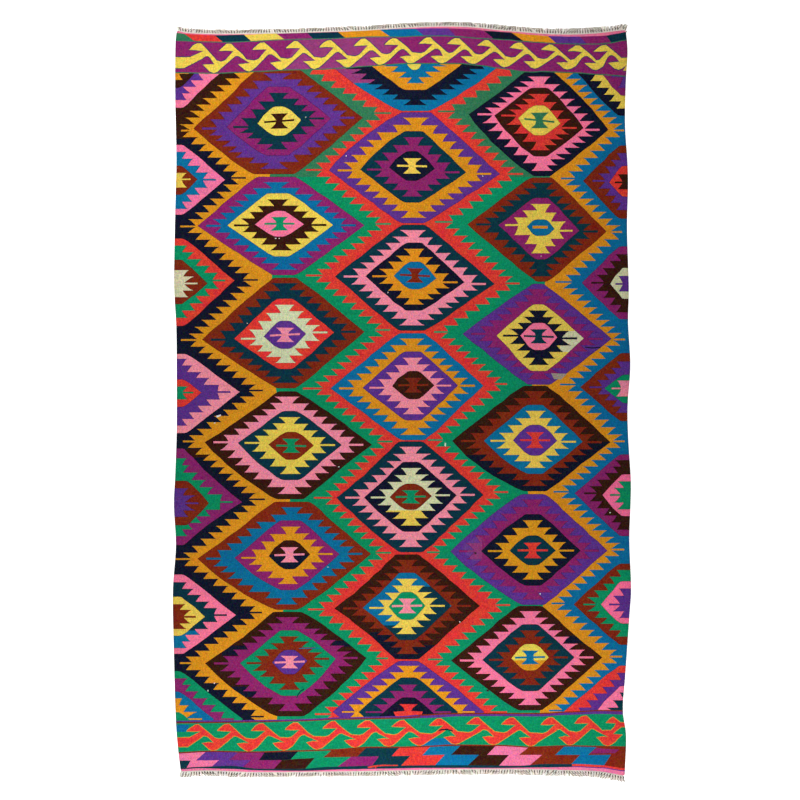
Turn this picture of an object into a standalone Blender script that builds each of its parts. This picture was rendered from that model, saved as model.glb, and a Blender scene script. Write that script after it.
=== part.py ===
"""Kilim rug: one flat-woven wool sheet with a short cut fringe of its warp ends at each end.

The rug lies on a floor, face up, as it was woven: the warps run along Y and the wefts along X.
Lengths are in metres. The origin is on the floor, under the middle of the rug's footprint.
The end at +Y is the one with the yellow running border.

Three solids:
  kilim_cloth     the woven sheet, with its uneven selvedges and end lines
  fringe_top      the warp ends past the +Y end, fused at the roots into a narrow knotted strip
  fringe_bottom   the same at the -Y end
"""

import math
import random
from collections import namedtuple

import bmesh
import bpy

# Driving sizes of the cloth
HALF_WIDTH = 0.905  # from the middle line to the mean line of each selvedge
HALF_LENGTH = 1.480  # from the middle line to the mean line of each woven end
CLOTH_THICKNESS = 0.003
RIM_ROUNDING = 0.0010  # the wefts turn back round the outer warps, which rounds the top edge
RIM_STEPS = 2
CORNER_RADIUS = 0.010
CORNER_STEPS = 4
SELVEDGE_STEP = 0.030  # between the points that draw a selvedge

# Driving sizes of the fringe
PARTING = 0.0004  # between the cloth's end and the strip that holds the strands
STRIP_WIDTH = 0.0045
STRIP_THICKNESS = 0.0026
LOCKS = 148  # tied warp ends along one end of the rug
LOCK_ROOT = 0.0068  # width where a lock leaves the strip
LOCK_TIP = 0.0046  # width at its cut end
TIP_THICKNESS = 0.0016
LENGTH_SCATTER = 0.0016  # how unevenly the locks are cut
LEAN = 0.0022  # how far a lock's tip lies to one side of its root
LEAN_WAVE = 0.085  # neighbouring locks lean together, and this is the length of one such run
FRINGE_SEED = 11

# The uneven outline. A selvedge stands "outward" of HALF_WIDTH at the place "along" Y, and a woven
# end stands "outward" of HALF_LENGTH at the place "along" X. A fringe reaches "length" past the end,
# and its outermost locks splay sideways by "splay".
Edge = namedtuple("Edge", "along outward")
Reach = namedtuple("Reach", "along length splay")

LEFT_SELVEDGE = (
    Edge(-1.473, -0.020),
    Edge(-1.393, -0.010),
    Edge(-1.281, -0.001),
    Edge(-1.009, 0.007),
    Edge(-0.753, 0.011),
    Edge(-0.573, -0.001),
    Edge(-0.413, 0.007),
    Edge(-0.297, 0.002),
    Edge(-0.113, -0.004),
    Edge(0.119, -0.004),
    Edge(0.303, -0.002),
    Edge(0.447, 0.006),
    Edge(0.559, 0.006),
    Edge(0.843, 0.000),
    Edge(0.967, -0.003),
    Edge(1.223, 0.002),
    Edge(1.440, 0.001),
    Edge(1.484, -0.004),
)
RIGHT_SELVEDGE = (
    Edge(-1.490, -0.014),
    Edge(-1.329, -0.009),
    Edge(-1.237, -0.022),
    Edge(-1.089, -0.012),
    Edge(-0.845, 0.005),
    Edge(-0.753, 0.011),
    Edge(-0.549, 0.004),
    Edge(-0.405, 0.009),
    Edge(-0.313, 0.010),
    Edge(-0.153, 0.000),
    Edge(-0.021, -0.003),
    Edge(0.147, 0.008),
    Edge(0.319, -0.001),
    Edge(0.447, 0.002),
    Edge(0.699, -0.005),
    Edge(0.871, -0.001),
    Edge(0.967, -0.004),
    Edge(1.107, -0.013),
    Edge(1.279, -0.010),
    Edge(1.403, -0.003),
    Edge(1.486, -0.010),
)
TOP_END = (
    Edge(-0.905, 0.007),
    Edge(-0.868, -0.003),
    Edge(-0.748, -0.009),
    Edge(-0.478, -0.006),
    Edge(-0.356, -0.002),
    Edge(-0.172, 0.004),
    Edge(-0.008, 0.014),
    Edge(0.141, 0.021),
    Edge(0.265, 0.019),
    Edge(0.398, 0.006),
    Edge(0.526, -0.005),
    Edge(0.622, -0.010),
    Edge(0.749, -0.008),
    Edge(0.905, 0.009),
)
BOTTOM_END = (
    Edge(-0.905, 0.000),
    Edge(-0.808, -0.005),
    Edge(-0.744, -0.005),
    Edge(-0.608, 0.001),
    Edge(-0.408, 0.000),
    Edge(-0.088, -0.004),
    Edge(0.230, -0.011),
    Edge(0.514, -0.011),
    Edge(0.654, -0.007),
    Edge(0.782, -0.002),
    Edge(0.905, 0.019),
)
TOP_FRINGE = (
    Reach(-0.905, 0.017, 0.001),
    Reach(-0.748, 0.017, 0.0),
    Reach(0.141, 0.019, 0.0),
    Reach(0.622, 0.022, 0.001),
    Reach(0.749, 0.024, 0.004),
    Reach(0.905, 0.022, 0.012),
)
BOTTOM_FRINGE = (
    Reach(-0.905, 0.021, -0.007),
    Reach(-0.748, 0.022, -0.002),
    Reach(-0.408, 0.020, 0.0),
    Reach(0.230, 0.022, 0.0),
    Reach(0.782, 0.024, 0.0),
    Reach(0.905, 0.022, 0.001),
)

CLOTH_COLOUR = (0.30, 0.045, 0.035, 1.0)
FRINGE_COLOUR = (0.62, 0.58, 0.50, 1.0)
WOOL_ROUGHNESS = 0.95


def smooth_through(rows, column):
    """A function that reads a table's column at any place, along a smooth curve through its rows."""
    places = [row.along for row in rows]
    values = [getattr(row, column) for row in rows]
    last = len(rows) - 1

    def slope(i):
        before, after = max(i - 1, 0), min(i + 1, last)
        return (values[after] - values[before]) / (places[after] - places[before])

    def value(place):
        place = min(max(place, places[0]), places[last])
        i = max(k for k in range(last) if places[k] <= place)
        span = places[i + 1] - places[i]
        t = (place - places[i]) / span
        start, end = 2 * t**3 - 3 * t**2 + 1, 3 * t**2 - 2 * t**3
        leave, arrive = t**3 - 2 * t**2 + t, t**3 - t**2
        bend = leave * slope(i) + arrive * slope(i + 1)
        return start * values[i] + end * values[i + 1] + span * bend

    return value


left_out = smooth_through(LEFT_SELVEDGE, "outward")
right_out = smooth_through(RIGHT_SELVEDGE, "outward")
top_out = smooth_through(TOP_END, "outward")
bottom_out = smooth_through(BOTTOM_END, "outward")


def side_x(side, y):
    """Where a selvedge is at the height y. The side is -1 for the left one and 1 for the right one."""
    outward = right_out(y) if side > 0 else left_out(y)
    return side * (HALF_WIDTH + outward)


def end_y(end, x):
    """Where a woven end is at the place x. The end is -1 for the bottom one and 1 for the top one."""
    outward = top_out(x) if end > 0 else bottom_out(x)
    return end * (HALF_LENGTH + outward)


def corner(side, end):
    """The point where a selvedge meets a woven end."""
    x, y = side * HALF_WIDTH, end * HALF_LENGTH
    for _ in range(4):
        x, y = side_x(side, y), end_y(end, x)
    return x, y


def rounded(before, sharp, after):
    """Points on a small curve that takes the place of a sharp corner."""
    points = []
    for step in range(CORNER_STEPS + 1):
        t = step / CORNER_STEPS
        weights = ((1 - t) ** 2, 2 * t * (1 - t), t**2)
        points.append(tuple(sum(w * p[k] for w, p in zip(weights, (before, sharp, after))) for k in (0, 1)))
    return points


def spread(start, stop, step):
    """Even places from start to stop, without the two ends, about a step apart."""
    count = max(2, round(abs(stop - start) / step))
    return [start + (stop - start) * i / count for i in range(1, count)]


def lock_pitch(end):
    """The first place of the fringe along an end of the rug, and the width that each lock has there."""
    first = corner(-1, end)[0] + CORNER_RADIUS
    last = corner(1, end)[0] - CORNER_RADIUS
    return first, (last - first) / LOCKS


def cloth_outline():
    """The cloth's outline, anticlockwise from above, beginning at its lower left corner."""
    corners = ((-1, -1), (1, -1), (1, 1), (-1, 1))
    outline = []
    for i, (side, end) in enumerate(corners):
        x, y = corner(side, end)
        on_end = (x - side * CORNER_RADIUS, end_y(end, x - side * CORNER_RADIUS))
        on_side = (side_x(side, y - end * CORNER_RADIUS), y - end * CORNER_RADIUS)
        leaves_along_end = side * end > 0
        ahead = (on_side, on_end) if leaves_along_end else (on_end, on_side)
        if (side, end) in ((-1, -1), (1, 1)):
            ahead = (on_side, on_end)
        outline += rounded(ahead[0], (x, y), ahead[1])
        next_side, next_end = corners[(i + 1) % 4]
        if next_end == end:
            first, pitch = lock_pitch(end)
            places = [first + pitch * k for k in range(1, LOCKS)]
            outline += [(px, end_y(end, px)) for px in (places if next_side > side else reversed(places))]
        else:
            next_y = corner(next_side, next_end)[1]
            stop = next_y - next_end * CORNER_RADIUS
            start = y - end * CORNER_RADIUS
            outline += [(side_x(side, py), py) for py in spread(start, stop, SELVEDGE_STEP)]
    return outline


def solid_from_plan(name, plan, faces, heights):
    """A closed solid standing on the floor: its plan's faces, anticlockwise, raised to each point's height."""
    count = len(plan)
    points = [(x, y, 0.0) for x, y in plan] + [(x, y, h) for (x, y), h in zip(plan, heights)]
    solid_faces = [tuple(reversed(face)) for face in faces]
    solid_faces += [tuple(count + i for i in face) for face in faces]
    sides = {(face[i - 1], face[i]) for face in faces for i in range(len(face))}
    for a, b in sorted(sides):
        if (b, a) not in sides:
            solid_faces.append((a, b, count + b, count + a))
    mesh = bpy.data.meshes.new(name)
    mesh.from_pydata(points, [], solid_faces)
    mesh.update()
    obj = bpy.data.objects.new(name, mesh)
    bpy.context.scene.collection.objects.link(obj)
    return obj


def wool(name, colour):
    material = bpy.data.materials.new(name)
    material.use_nodes = True
    shader = material.node_tree.nodes["Principled BSDF"]
    shader.inputs["Base Color"].default_value = colour
    shader.inputs["Roughness"].default_value = WOOL_ROUGHNESS
    shader.inputs["Metallic"].default_value = 0.0
    return material


def make_cloth():
    """The woven sheet: flat underneath, with its top edge rounded over all the way round."""
    outline = cloth_outline()
    heights = [CLOTH_THICKNESS] * len(outline)
    cloth = solid_from_plan("kilim_cloth", outline, [tuple(range(len(outline)))], heights)
    shape = bmesh.new()
    shape.from_mesh(cloth.data)
    rim = [
        edge
        for edge in shape.edges
        if all(v.co.z > CLOTH_THICKNESS / 2 for v in edge.verts)
    ]
    bmesh.ops.bevel(shape, geom=rim, offset=RIM_ROUNDING, segments=RIM_STEPS, profile=0.5, affect="EDGES")
    shape.to_mesh(cloth.data)
    shape.free()
    cloth.data.materials.append(wool("cloth", CLOTH_COLOUR))
    return cloth


def make_fringe(name, end, reaches):
    """One end's locks, which lie on the floor and are fused at their roots into a narrow strip.

    The plan is a comb: a strip that follows the woven end, and a tapering tooth for each lock.
    """
    scatter = random.Random(FRINGE_SEED + end)
    length_at = smooth_through(reaches, "length")
    splay_at = smooth_through(reaches, "splay")
    first, pitch = lock_pitch(end)
    plan, heights, faces = [], [], []

    def place(x, y, height):
        plan.append((x, y))
        heights.append(height)
        return len(plan) - 1

    def column(x):
        """The strip's inner and outer point at the place x."""
        inner = end_y(end, x) + end * PARTING
        return place(x, inner, STRIP_THICKNESS), place(x, inner + end * STRIP_WIDTH, STRIP_THICKNESS)

    def add(*corners):
        faces.append(corners if end > 0 else tuple(reversed(corners)))

    before = column(first)
    for k in range(LOCKS):
        middle = first + pitch * (k + 0.5)
        left = column(middle - LOCK_ROOT / 2)
        right = column(middle + LOCK_ROOT / 2)
        add(before[0], left[0], left[1], before[1])
        add(left[0], right[0], right[1], left[1])
        before = right
        lean = LEAN * math.sin(2 * math.pi * middle / LEAN_WAVE) + splay_at(middle)
        tip_x = middle + lean + scatter.uniform(-LEAN, LEAN) / 3
        reach = length_at(middle) + scatter.uniform(-LENGTH_SCATTER, LENGTH_SCATTER)
        tip_y = end_y(end, middle) + end * reach
        tip_left = place(tip_x - LOCK_TIP / 2, tip_y, TIP_THICKNESS)
        tip_right = place(tip_x + LOCK_TIP / 2, tip_y, TIP_THICKNESS)
        add(left[1], right[1], tip_right, tip_left)
    after = column(first + pitch * LOCKS)
    add(before[0], after[0], after[1], before[1])
    fringe = solid_from_plan(name, plan, faces, heights)
    fringe.data.materials.append(wool(name, FRINGE_COLOUR))
    return fringe


def centre_on_origin(objects):
    """Moves the rug in the floor's plane, so that the middle of its footprint is at the origin."""
    points = [obj.matrix_world @ v.co for obj in objects for v in obj.data.vertices]
    middle_x, middle_y = ((min(p[k] for p in points) + max(p[k] for p in points)) / 2 for k in (0, 1))
    rug = bpy.data.objects.new("rug", None)
    bpy.context.scene.collection.objects.link(rug)
    for obj in objects:
        obj.parent = rug
    rug.location = (-middle_x, -middle_y, 0.0)


def main():
    for obj in list(bpy.data.objects):
        bpy.data.objects.remove(obj)
    cloth = make_cloth()
    fringe_top = make_fringe("fringe_top", 1, TOP_FRINGE)
    fringe_bottom = make_fringe("fringe_bottom", -1, BOTTOM_FRINGE)
    centre_on_origin((cloth, fringe_top, fringe_bottom))


main()
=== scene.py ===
# %% [markdown]
# # A kilim rug, seen from straight above
#
# A kilim is a flat-woven rug: there is no pile, only wool wefts beaten down so tightly over the
# warps that the warps disappear. They show again at the two ends, as a short cut fringe.
# The CAD part gives us the cloth's outline and the fringe's reach. This lesson adds what the eye
# looks for: the woven pattern, the ribbed wool and the soft warp ends.

# %% Load the fixed frame
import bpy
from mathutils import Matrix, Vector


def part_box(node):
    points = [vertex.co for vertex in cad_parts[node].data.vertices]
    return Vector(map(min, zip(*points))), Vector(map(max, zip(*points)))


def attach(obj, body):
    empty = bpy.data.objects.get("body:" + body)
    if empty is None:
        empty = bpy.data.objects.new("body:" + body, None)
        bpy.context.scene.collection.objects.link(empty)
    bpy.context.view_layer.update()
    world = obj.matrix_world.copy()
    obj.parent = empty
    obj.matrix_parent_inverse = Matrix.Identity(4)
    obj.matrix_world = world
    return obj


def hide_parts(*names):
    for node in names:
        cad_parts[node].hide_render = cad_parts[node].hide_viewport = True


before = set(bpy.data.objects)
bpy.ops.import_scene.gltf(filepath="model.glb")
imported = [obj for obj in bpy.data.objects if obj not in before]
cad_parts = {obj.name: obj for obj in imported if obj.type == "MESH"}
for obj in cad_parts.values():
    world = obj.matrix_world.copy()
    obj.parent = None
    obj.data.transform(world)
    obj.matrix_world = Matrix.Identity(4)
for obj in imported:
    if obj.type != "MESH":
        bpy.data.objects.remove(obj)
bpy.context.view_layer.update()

# %% Tools for the whole lesson
import math
import random
from collections import namedtuple

import bpy
import numpy as np
from mathutils import Vector
from mathutils.geometry import delaunay_2d_cdt

# %% [markdown]
# ## The chart
#
# A weaver works from a chart of squares. Ours has one square for every 4 mm of rug, counted in
# columns from the left and in rows from the top, and the rug's middle lies at the column and row
# below. The pattern could be a shader, but a shader can't easily draw a hundred different teeth.
# So the chart is a pile of flat shapes, each with its yarn: later ones lie over earlier ones, as
# in a paper collage. The hand that draws them is a little unsteady, as every weaver's is.

# %% Squares, yarns and the unsteady hand
SQUARE = 0.004
MIDDLE_COLUMN, MIDDLE_ROW = 401.94, 401.36
hand = random.Random(23)

Shape = namedtuple("Shape", "yarn points only_over")
chart = []


def lay(yarn, points, only_over=None):
    """Lays one flat shape on the chart. With only_over it shows only where that yarn lies below."""
    chart.append(Shape(yarn, [tuple(point) for point in points], only_over))


def shaky(amount):
    return hand.uniform(-amount, amount)


def mix(a, b, t):
    return a + (b - a) * t


TOO_SHARP = 0.2  # a corner sharper than this stays where it is


def widened(points, amount):
    """The same outline, moved outwards all the way round."""
    area = sum(a[0] * b[1] - b[0] * a[1] for a, b in zip(points, points[1:] + points[:1]))
    turn = 1 if area > 0 else -1
    wider = []
    for before, here, after in zip(points[-1:] + points[:-1], points, points[1:] + points[:1]):
        ahead = Vector((after[0] - here[0], after[1] - here[1])).normalized()
        back = Vector((here[0] - before[0], here[1] - before[1])).normalized()
        normal = Vector((ahead.y + back.y, -ahead.x - back.x)) * turn
        normal = normal.normalized() if normal.length > TOO_SHARP else Vector((0, 0))
        wider.append((here[0] + normal.x * amount, here[1] + normal.y * amount))
    return wider


SLIT = 0.26  # how wide the shadow is where two colours meet


def lay_with_slit(yarn, points):
    """Lays a shape with a thin shadow round it, because the wefts of two colours turn back there."""
    lay("slit shadow", widened(points, SLIT))
    lay(yarn, points)


def on_rug(column, row):
    """The place on the rug, in metres, of a place on the chart."""
    return (column - MIDDLE_COLUMN) * SQUARE, (MIDDLE_ROW - row) * SQUARE


print("one square is", SQUARE * 1000, "mm, and the first one lies at", on_rug(0, 0))

# %% [markdown]
# ## Six-sided shapes and teeth
#
# Every medallion is a long hexagon: a tip on the left and right, and a short flat run at the top
# and bottom where it meets the next one. A weft-faced weave can't make steep smooth lines, so
# kilim weavers set teeth along the slants. A tooth has one edge along a weft, dead level, and one
# that curves back. They always point away from the medallion's middle line.

# %% Draw a six-sided shape
Six = namedtuple("Six", "left right top bottom bows")
Tip = namedtuple("Tip", "column row")
Flat = namedtuple("Flat", "first last row")
Bows = namedtuple("Bows", "upper_left upper_right lower_left lower_right")
STRAIGHT = Bows(0, 0, 0, 0)
SIDE_STEP = 6.0  # rows between the points that draw a slanting side
SIDE_SHAKE = 0.85
CORNER = ((3.2, 0.0), (0.9, 0.5))  # two points that round a corner: how far in, and how far down
CORNER_SOFT = 0.8  # how far in the first point of the side below the corner lies


def side_column(six, side, row):
    """The column of a six-sided shape's left (-1) or right (1) side in a row."""
    tip = six.left if side < 0 else six.right
    upper = row < tip.row
    flat = six.top if upper else six.bottom
    corner = flat.first if side < 0 else flat.last
    t = min(max((row - flat.row) / (tip.row - flat.row), 0.0), 1.0)
    bow = six.bows[(0 if upper else 2) + (0 if side < 0 else 1)]
    return mix(corner, tip.column, t) + side * bow * 4 * t * (1 - t)


def side_points(six, side, half):
    """The points of one slanting side, from the flat run to the tip."""
    tip = six.left if side < 0 else six.right
    flat = six.top if half < 0 else six.bottom
    corner = flat.first if side < 0 else flat.last
    points = [(corner - side * inwards, flat.row - half * down) for inwards, down in CORNER]
    height = abs(tip.row - flat.row)
    count = max(2, round(height / SIDE_STEP))
    for k in range(1, count):
        row = flat.row - half * height * (k - 0.5) / count
        soften = CORNER_SOFT if k == 1 else 0.0
        points.append((side_column(six, side, row) - side * soften + shaky(SIDE_SHAKE), row))
    return points + [tip]


def outline(six):
    upper_right, lower_right = side_points(six, 1, -1), side_points(six, 1, 1)
    upper_left, lower_left = side_points(six, -1, -1), side_points(six, -1, 1)
    return upper_right + lower_right[-2::-1] + lower_left + upper_left[-2::-1]


# %% [markdown]
# A set of teeth is written as: the rows between the hexagon's ends and the first teeth; how far
# the teeth stay inside the hexagon, and how long they are; half the width of the first row, how
# much wider it may spread, and how wide the neck between the first two rows is; how far from the
# tip the last tooth's root lies; how thick the bar is and how far from the tip it ends; and how
# many rows of teeth lie above and below it.

# %% Draw a toothed shape inside it
Teeth = namedtuple(
    "Teeth", "gap_up gap_down inset length first_half spread neck root bar bar_inset upper lower"
)
FIRST_INSET = 2.0  # how much further inside the hexagon the first row stays
SECOND_MORE = 10.5  # how much further out the second row of teeth reaches than the first
LEAST_SLANT = 5.5  # how far a tooth runs in, from its tip to the notch under it, at the least
TOOTH_SHAKE, ROW_SHAKE = 0.8, 0.35
CURVE_STEPS = (0.35, 0.7)
CURVE_POWER = 1.45


def curved(start, stop):
    """Points between two ends of a tooth's curved edge, which leaves the tip almost level."""
    return [
        (mix(start[0], stop[0], t), mix(start[1], stop[1], t**CURVE_POWER)) for t in CURVE_STEPS
    ]


def toothed_quarter(six, teeth, side, half):
    """A quarter of a toothed shape, from its level end to the bar on the middle line."""
    tip = six.left if side < 0 else six.right
    flat = six.top if half < 0 else six.bottom
    count = teeth.upper if half < 0 else teeth.lower
    middle = (flat.first + flat.last) / 2
    gap = teeth.gap_up if half < 0 else teeth.gap_down
    start, stop = flat.row - half * gap, tip.row + half * teeth.bar / 2
    points = []
    for k in range(count):
        row = mix(start, stop, k / count) + (shaky(ROW_SHAKE) if k else 0.0)
        out = side_column(six, side, row) - side * teeth.inset + shaky(TOOTH_SHAKE)
        if k == 0:
            half_width = min(side * (out - middle) - FIRST_INSET, teeth.first_half + teeth.spread)
            out = middle + side * max(teeth.first_half + shaky(TOOTH_SHAKE), half_width)
        else:
            if k == 1:
                widest = teeth.first_half + SECOND_MORE + teeth.spread
                out = middle + side * min(side * (out - middle), widest)
            notch_half = side * (out - middle) - teeth.length - shaky(TOOTH_SHAKE)
            if k == 1:
                notch_half = min(notch_half, teeth.neck + teeth.spread)
            notch_half = min(notch_half, side * (points[-1][0] - middle) - LEAST_SLANT)
            notch = middle + side * max(teeth.neck, notch_half)
            points += curved(points[-1], (notch, row)) + [(notch, row)]
        points.append((out, row))
    root = tip.column - side * teeth.root
    points += curved(points[-1], (root, stop)) + [(root, stop)]
    return points + [(tip.column - side * teeth.bar_inset, stop)]


def toothed(six, teeth):
    upper_right, lower_right = toothed_quarter(six, teeth, 1, -1), toothed_quarter(six, teeth, 1, 1)
    upper_left, lower_left = toothed_quarter(six, teeth, -1, -1), toothed_quarter(six, teeth, -1, 1)
    return upper_right + lower_right[::-1] + lower_left + upper_left[::-1]


print("a side has a point every", SIDE_STEP, "rows, and a tooth's curve", len(CURVE_STEPS), "points")

# %% [markdown]
# ## The medallions
#
# Six rows of three whole medallions, with half ones cut by the selvedges. Each nests four times:
# a plain hexagon, a toothed one in it, a smaller plain one, a smaller toothed one, and a core
# with a little hourglass on a bar. Only the yarns and the unevenness differ, so one function and
# one table weave them all. The table gives each core's middle, how far the tips and ends reach
# from it, how much higher than the core each tip sits, where the flat runs start and stop, the
# core's size, how far the sides bow out, the six yarns from the outside in, and half the width of
# the first teeth. One medallion also has its inner shape nudged at the two tips and two ends.

# %% The whole medallions
Medallion = namedtuple(
    "Medallion",
    "column row left right left_up right_up up down top bottom core_wide core_high bows yarns hat"
    " nudge",
    defaults=(11, (0, 0, 0, 0)),
)
MEDALLIONS = {
    "row 1 left": Medallion(
        279.3, 121.2, 85.6, 83.5, -7.4, 3.3, 52.8, 52.8, (257, 298), (252, 296), 21.7, 14.5,
        Bows(-1, 0, 2, 1), ("rust", "purple", "magenta", "dark teal", "yellow", "dark brown"), 13.5,
    ),
    "row 1 right": Medallion(
        539.3, 120.5, 70.4, 68.8, 6.1, -9.4, 49, 55.5, (525, 553), (532, 552), 21, 14.8,
        Bows(-2, 3, 5, 0), ("navy", "pink", "dark brown", "red", "yellow", "sea green"), 9.8,
    ),
    "row 2 left": Medallion(
        279.5, 223.8, 81.7, 84.8, -2.1, -1.6, 46.8, 51.2, (256, 297), (271, 297), 24.5, 12.8,
        STRAIGHT, ("magenta", "blue", "yellow", "dark brown", "pink", "green"), 12.6,
    ),
    "row 2 middle": Medallion(
        412, 166.1, 82.9, 87.9, -4.4, -7.8, 53.6, 56.9, (400, 432), (400, 426), 22.7, 14.6,
        Bows(6, -1, 0, 0), ("purple", "orange", "dark teal", "magenta", "navy", "yellow"), 12.3,
    ),
    "row 2 right": Medallion(
        540.6, 227.7, 73, 65.7, 3.2, -3.8, 50, 53.8, (530, 553), (535, 548), 13.6, 8,
        STRAIGHT, ("rust", "dark teal", "magenta", "yellow", "blue", "orange"), 10.4,
    ),
    "row 3 left": Medallion(
        285, 334.8, 82.7, 79.3, -4.9, 3, 56.8, 53.2, (272, 298), (275, 297), 21, 13.8,
        STRAIGHT, ("rust", "dark teal", "red", "cream", "purple", "dusty pink"), 12.8,
    ),
    "row 3 middle": Medallion(
        415, 275.5, 79.8, 79.5, -1, -8.5, 50.5, 55, (401, 426), (398, 426), 21.1, 13.6,
        STRAIGHT, ("dark teal", "dusty pink", "navy", "orange", "blue", "rust"), 12.4,
    ),
    "row 3 right": Medallion(
        538.8, 336.5, 76.1, 72.4, 2.6, -2.3, 52.5, 47.9, (531, 545), (526, 552), 18.4, 13.5,
        STRAIGHT, ("purple", "magenta", "yellow", "navy", "pink", "dark teal"), 11,
        (3.8, 0.5, 1.6, 3.2),
    ),
    "row 4 left": Medallion(
        291.2, 445.8, 86.3, 80.7, 3.6, 1, 54.3, 53.2, (277, 298), (275, 305), 22.5, 13.7,
        Bows(-3, 1, 5, -1.5), ("dark brown", "dusty pink", "dark teal", "yellow", "rust", "green"), 11.5,
    ),
    "row 4 middle": Medallion(
        413.3, 385.1, 82.7, 70, -3.3, -0.6, 51.7, 54.9, (398, 426), (400, 426), 20.9, 13.9,
        STRAIGHT, ("blue", "orange", "purple", "dusty pink", "dark brown", "rust"), 12,
    ),
    "row 4 right": Medallion(
        535, 440.2, 82.6, 75.2, -0.7, -1.9, 54.2, 50.8, (522, 548), (522, 548), 21.9, 15.2,
        Bows(0, 1, 8, -1), ("dark brown", "rust", "blue", "yellow", "purple", "red"), 11.5,
    ),
    "row 5 left": Medallion(
        289.5, 554.7, 91.7, 81.4, -3.9, 0.9, 52.7, 54.8, (273, 311), (274, 299), 20.5, 14.3,
        Bows(-2, -1, 7, 2), ("rust", "blue", "magenta", "orange", "navy", "dusty pink"), 10,
    ),
    "row 5 middle": Medallion(
        410.7, 496.7, 74, 72.6, -0.9, 1.9, 55.1, 55.3, (398, 424), (398, 424), 20.9, 12.9,
        Bows(-3, 0, 2, 0), ("dark teal", "dusty pink", "navy", "cream", "rust", "green"), 10.5,
    ),
    "row 5 right": Medallion(
        532.7, 550.3, 82.1, 74.5, -0.9, -0.3, 56, 54.3, (520, 546), (520, 546), 23, 14.7,
        Bows(3, 0, 4, 0), ("purple", "magenta", "navy", "orange", "dark teal", "red"), 10.2,
    ),
    "row 6 left": Medallion(
        289.7, 662, 84.2, 76.5, -1.3, 4.1, 50, 54, (272, 303), (275, 305), 17.5, 12,
        Bows(-3.5, 2, 6, 3.5), ("dark brown", "magenta", "green", "rust", "purple", "dusty pink"),
    ),
    "row 6 middle": Medallion(
        407, 605.8, 72.4, 72.7, -2.6, 0, 51.2, 53.2, (394, 420), (394, 420), 18.2, 13.7,
        Bows(-3.5, 0, -4, -1), ("dark brown", "rust", "blue", "yellow", "green", "dusty pink"), 9.8,
    ),
    "row 6 right": Medallion(
        530, 657.2, 78.7, 72, -3.2, -0.1, 51.2, 52.8, (517, 543), (517, 543), 18.7, 13.2,
        Bows(0, -1.5, 1.5, 0), ("dark brown", "pink", "dark teal", "rust", "yellow", "blue"), 10.4,
    ),
}
print("whole medallions:", len(MEDALLIONS))

# %% The shapes inside a whole medallion
WIDE_TEETH = Teeth(
    gap_up=5.2, gap_down=5.2, inset=7.0, length=15.2, first_half=11.5, spread=0, neck=4.6,
    root=23.6, bar=2.0, bar_inset=8.6, upper=7, lower=7,
)
SMALL_TEETH = Teeth(
    gap_up=6.0, gap_down=6.0, inset=5.6, length=14.5, first_half=10.3, spread=0, neck=3.9,
    root=21.8, bar=1.8, bar_inset=6.6, upper=4, lower=4,
)
INNER_ACROSS, INNER_ALONG = 0.48, 0.515  # how far out the inner shape's tips and ends lie
FLAT_FOLLOWS, BOW_FOLLOWS = 0.4, 0.5  # how much its flat runs and bows take after the outer's
TIP_FOLLOWS_INNER, TIP_FOLLOWS_CORE = 0.8, 0.35  # how much the tips' rows do
NUDGE_SLOPE = 3  # columns that the left tip is nudged for each row that it goes down


def between(core, outer, row):
    """The six-sided shape that lies part of the way from a core out to its outer shape."""

    def tip(a, b):
        return Tip(mix(a.column, b.column, INNER_ACROSS), row + (b.row - row) * TIP_FOLLOWS_INNER)

    def flat(a, b):
        return Flat(mix(a.first, b.first, FLAT_FOLLOWS), mix(a.last, b.last, FLAT_FOLLOWS),
                    mix(a.row, b.row, INNER_ALONG))

    bows = Bows(*(bow * BOW_FOLLOWS for bow in outer.bows))
    return Six(tip(core.left, outer.left), tip(core.right, outer.right),
               flat(core.top, outer.top), flat(core.bottom, outer.bottom), bows)


def nudged(six, left, right, top, bottom):
    """The same shape with its two tips and two ends moved a little."""
    return Six(
        Tip(six.left.column + left, six.left.row + left / NUDGE_SLOPE),
        Tip(six.right.column + right, six.right.row),
        six.top._replace(row=six.top.row + top),
        six.bottom._replace(row=six.bottom.row + bottom),
        six.bows,
    )


HOURGLASS_HALF, HOURGLASS_SHARE, WAIST = 8.9, 0.52, 3.0
WAIST_OPENS, OPENS_AT = 1.2, 0.45  # how much wider than the waist it is, part of the way up
HOURGLASS_SHAKE = (0.5, 0.3)  # across and along the rug


def hourglass(column, row, core_high):
    """Two small triangles with curved sides that meet at a waist."""
    high = core_high * HOURGLASS_SHARE
    right = [(HOURGLASS_HALF, -high), (WAIST + WAIST_OPENS, -high * OPENS_AT), (WAIST, 0),
             (WAIST + WAIST_OPENS, high * OPENS_AT), (HOURGLASS_HALF, high)]
    points = right + [(-x, y) for x, y in reversed(right)]
    shake_across, shake_along = HOURGLASS_SHAKE
    return [(column + x + shaky(shake_across), row + y + (0 if y == 0 else shaky(shake_along)))
            for x, y in points]


def bar(first, first_row, last, last_row, thick):
    """A thin bar along the wefts."""
    return [(first, first_row - thick / 2), (last, last_row - thick / 2),
            (last, last_row + thick / 2), (first, first_row + thick / 2)]


# %% Weave one whole medallion
CORE_FLAT = 6.6
HAT_MORE = 0.8
SMALL_CORE = 15  # a core that reaches less far has fewer teeth round it and a thick bar alone
SMALL_CORE_TEETH = SMALL_TEETH._replace(upper=3, lower=3, length=12.5, root=19.8)
BAR_REACH, BAR_THICK, BAR_TILT = 15, 1.9, 0.1
SMALL_BAR_LEFT, SMALL_BAR_RIGHT, SMALL_BAR_UP, SMALL_BAR_THICK = 8, 7, 0.5, 2.6


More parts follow.
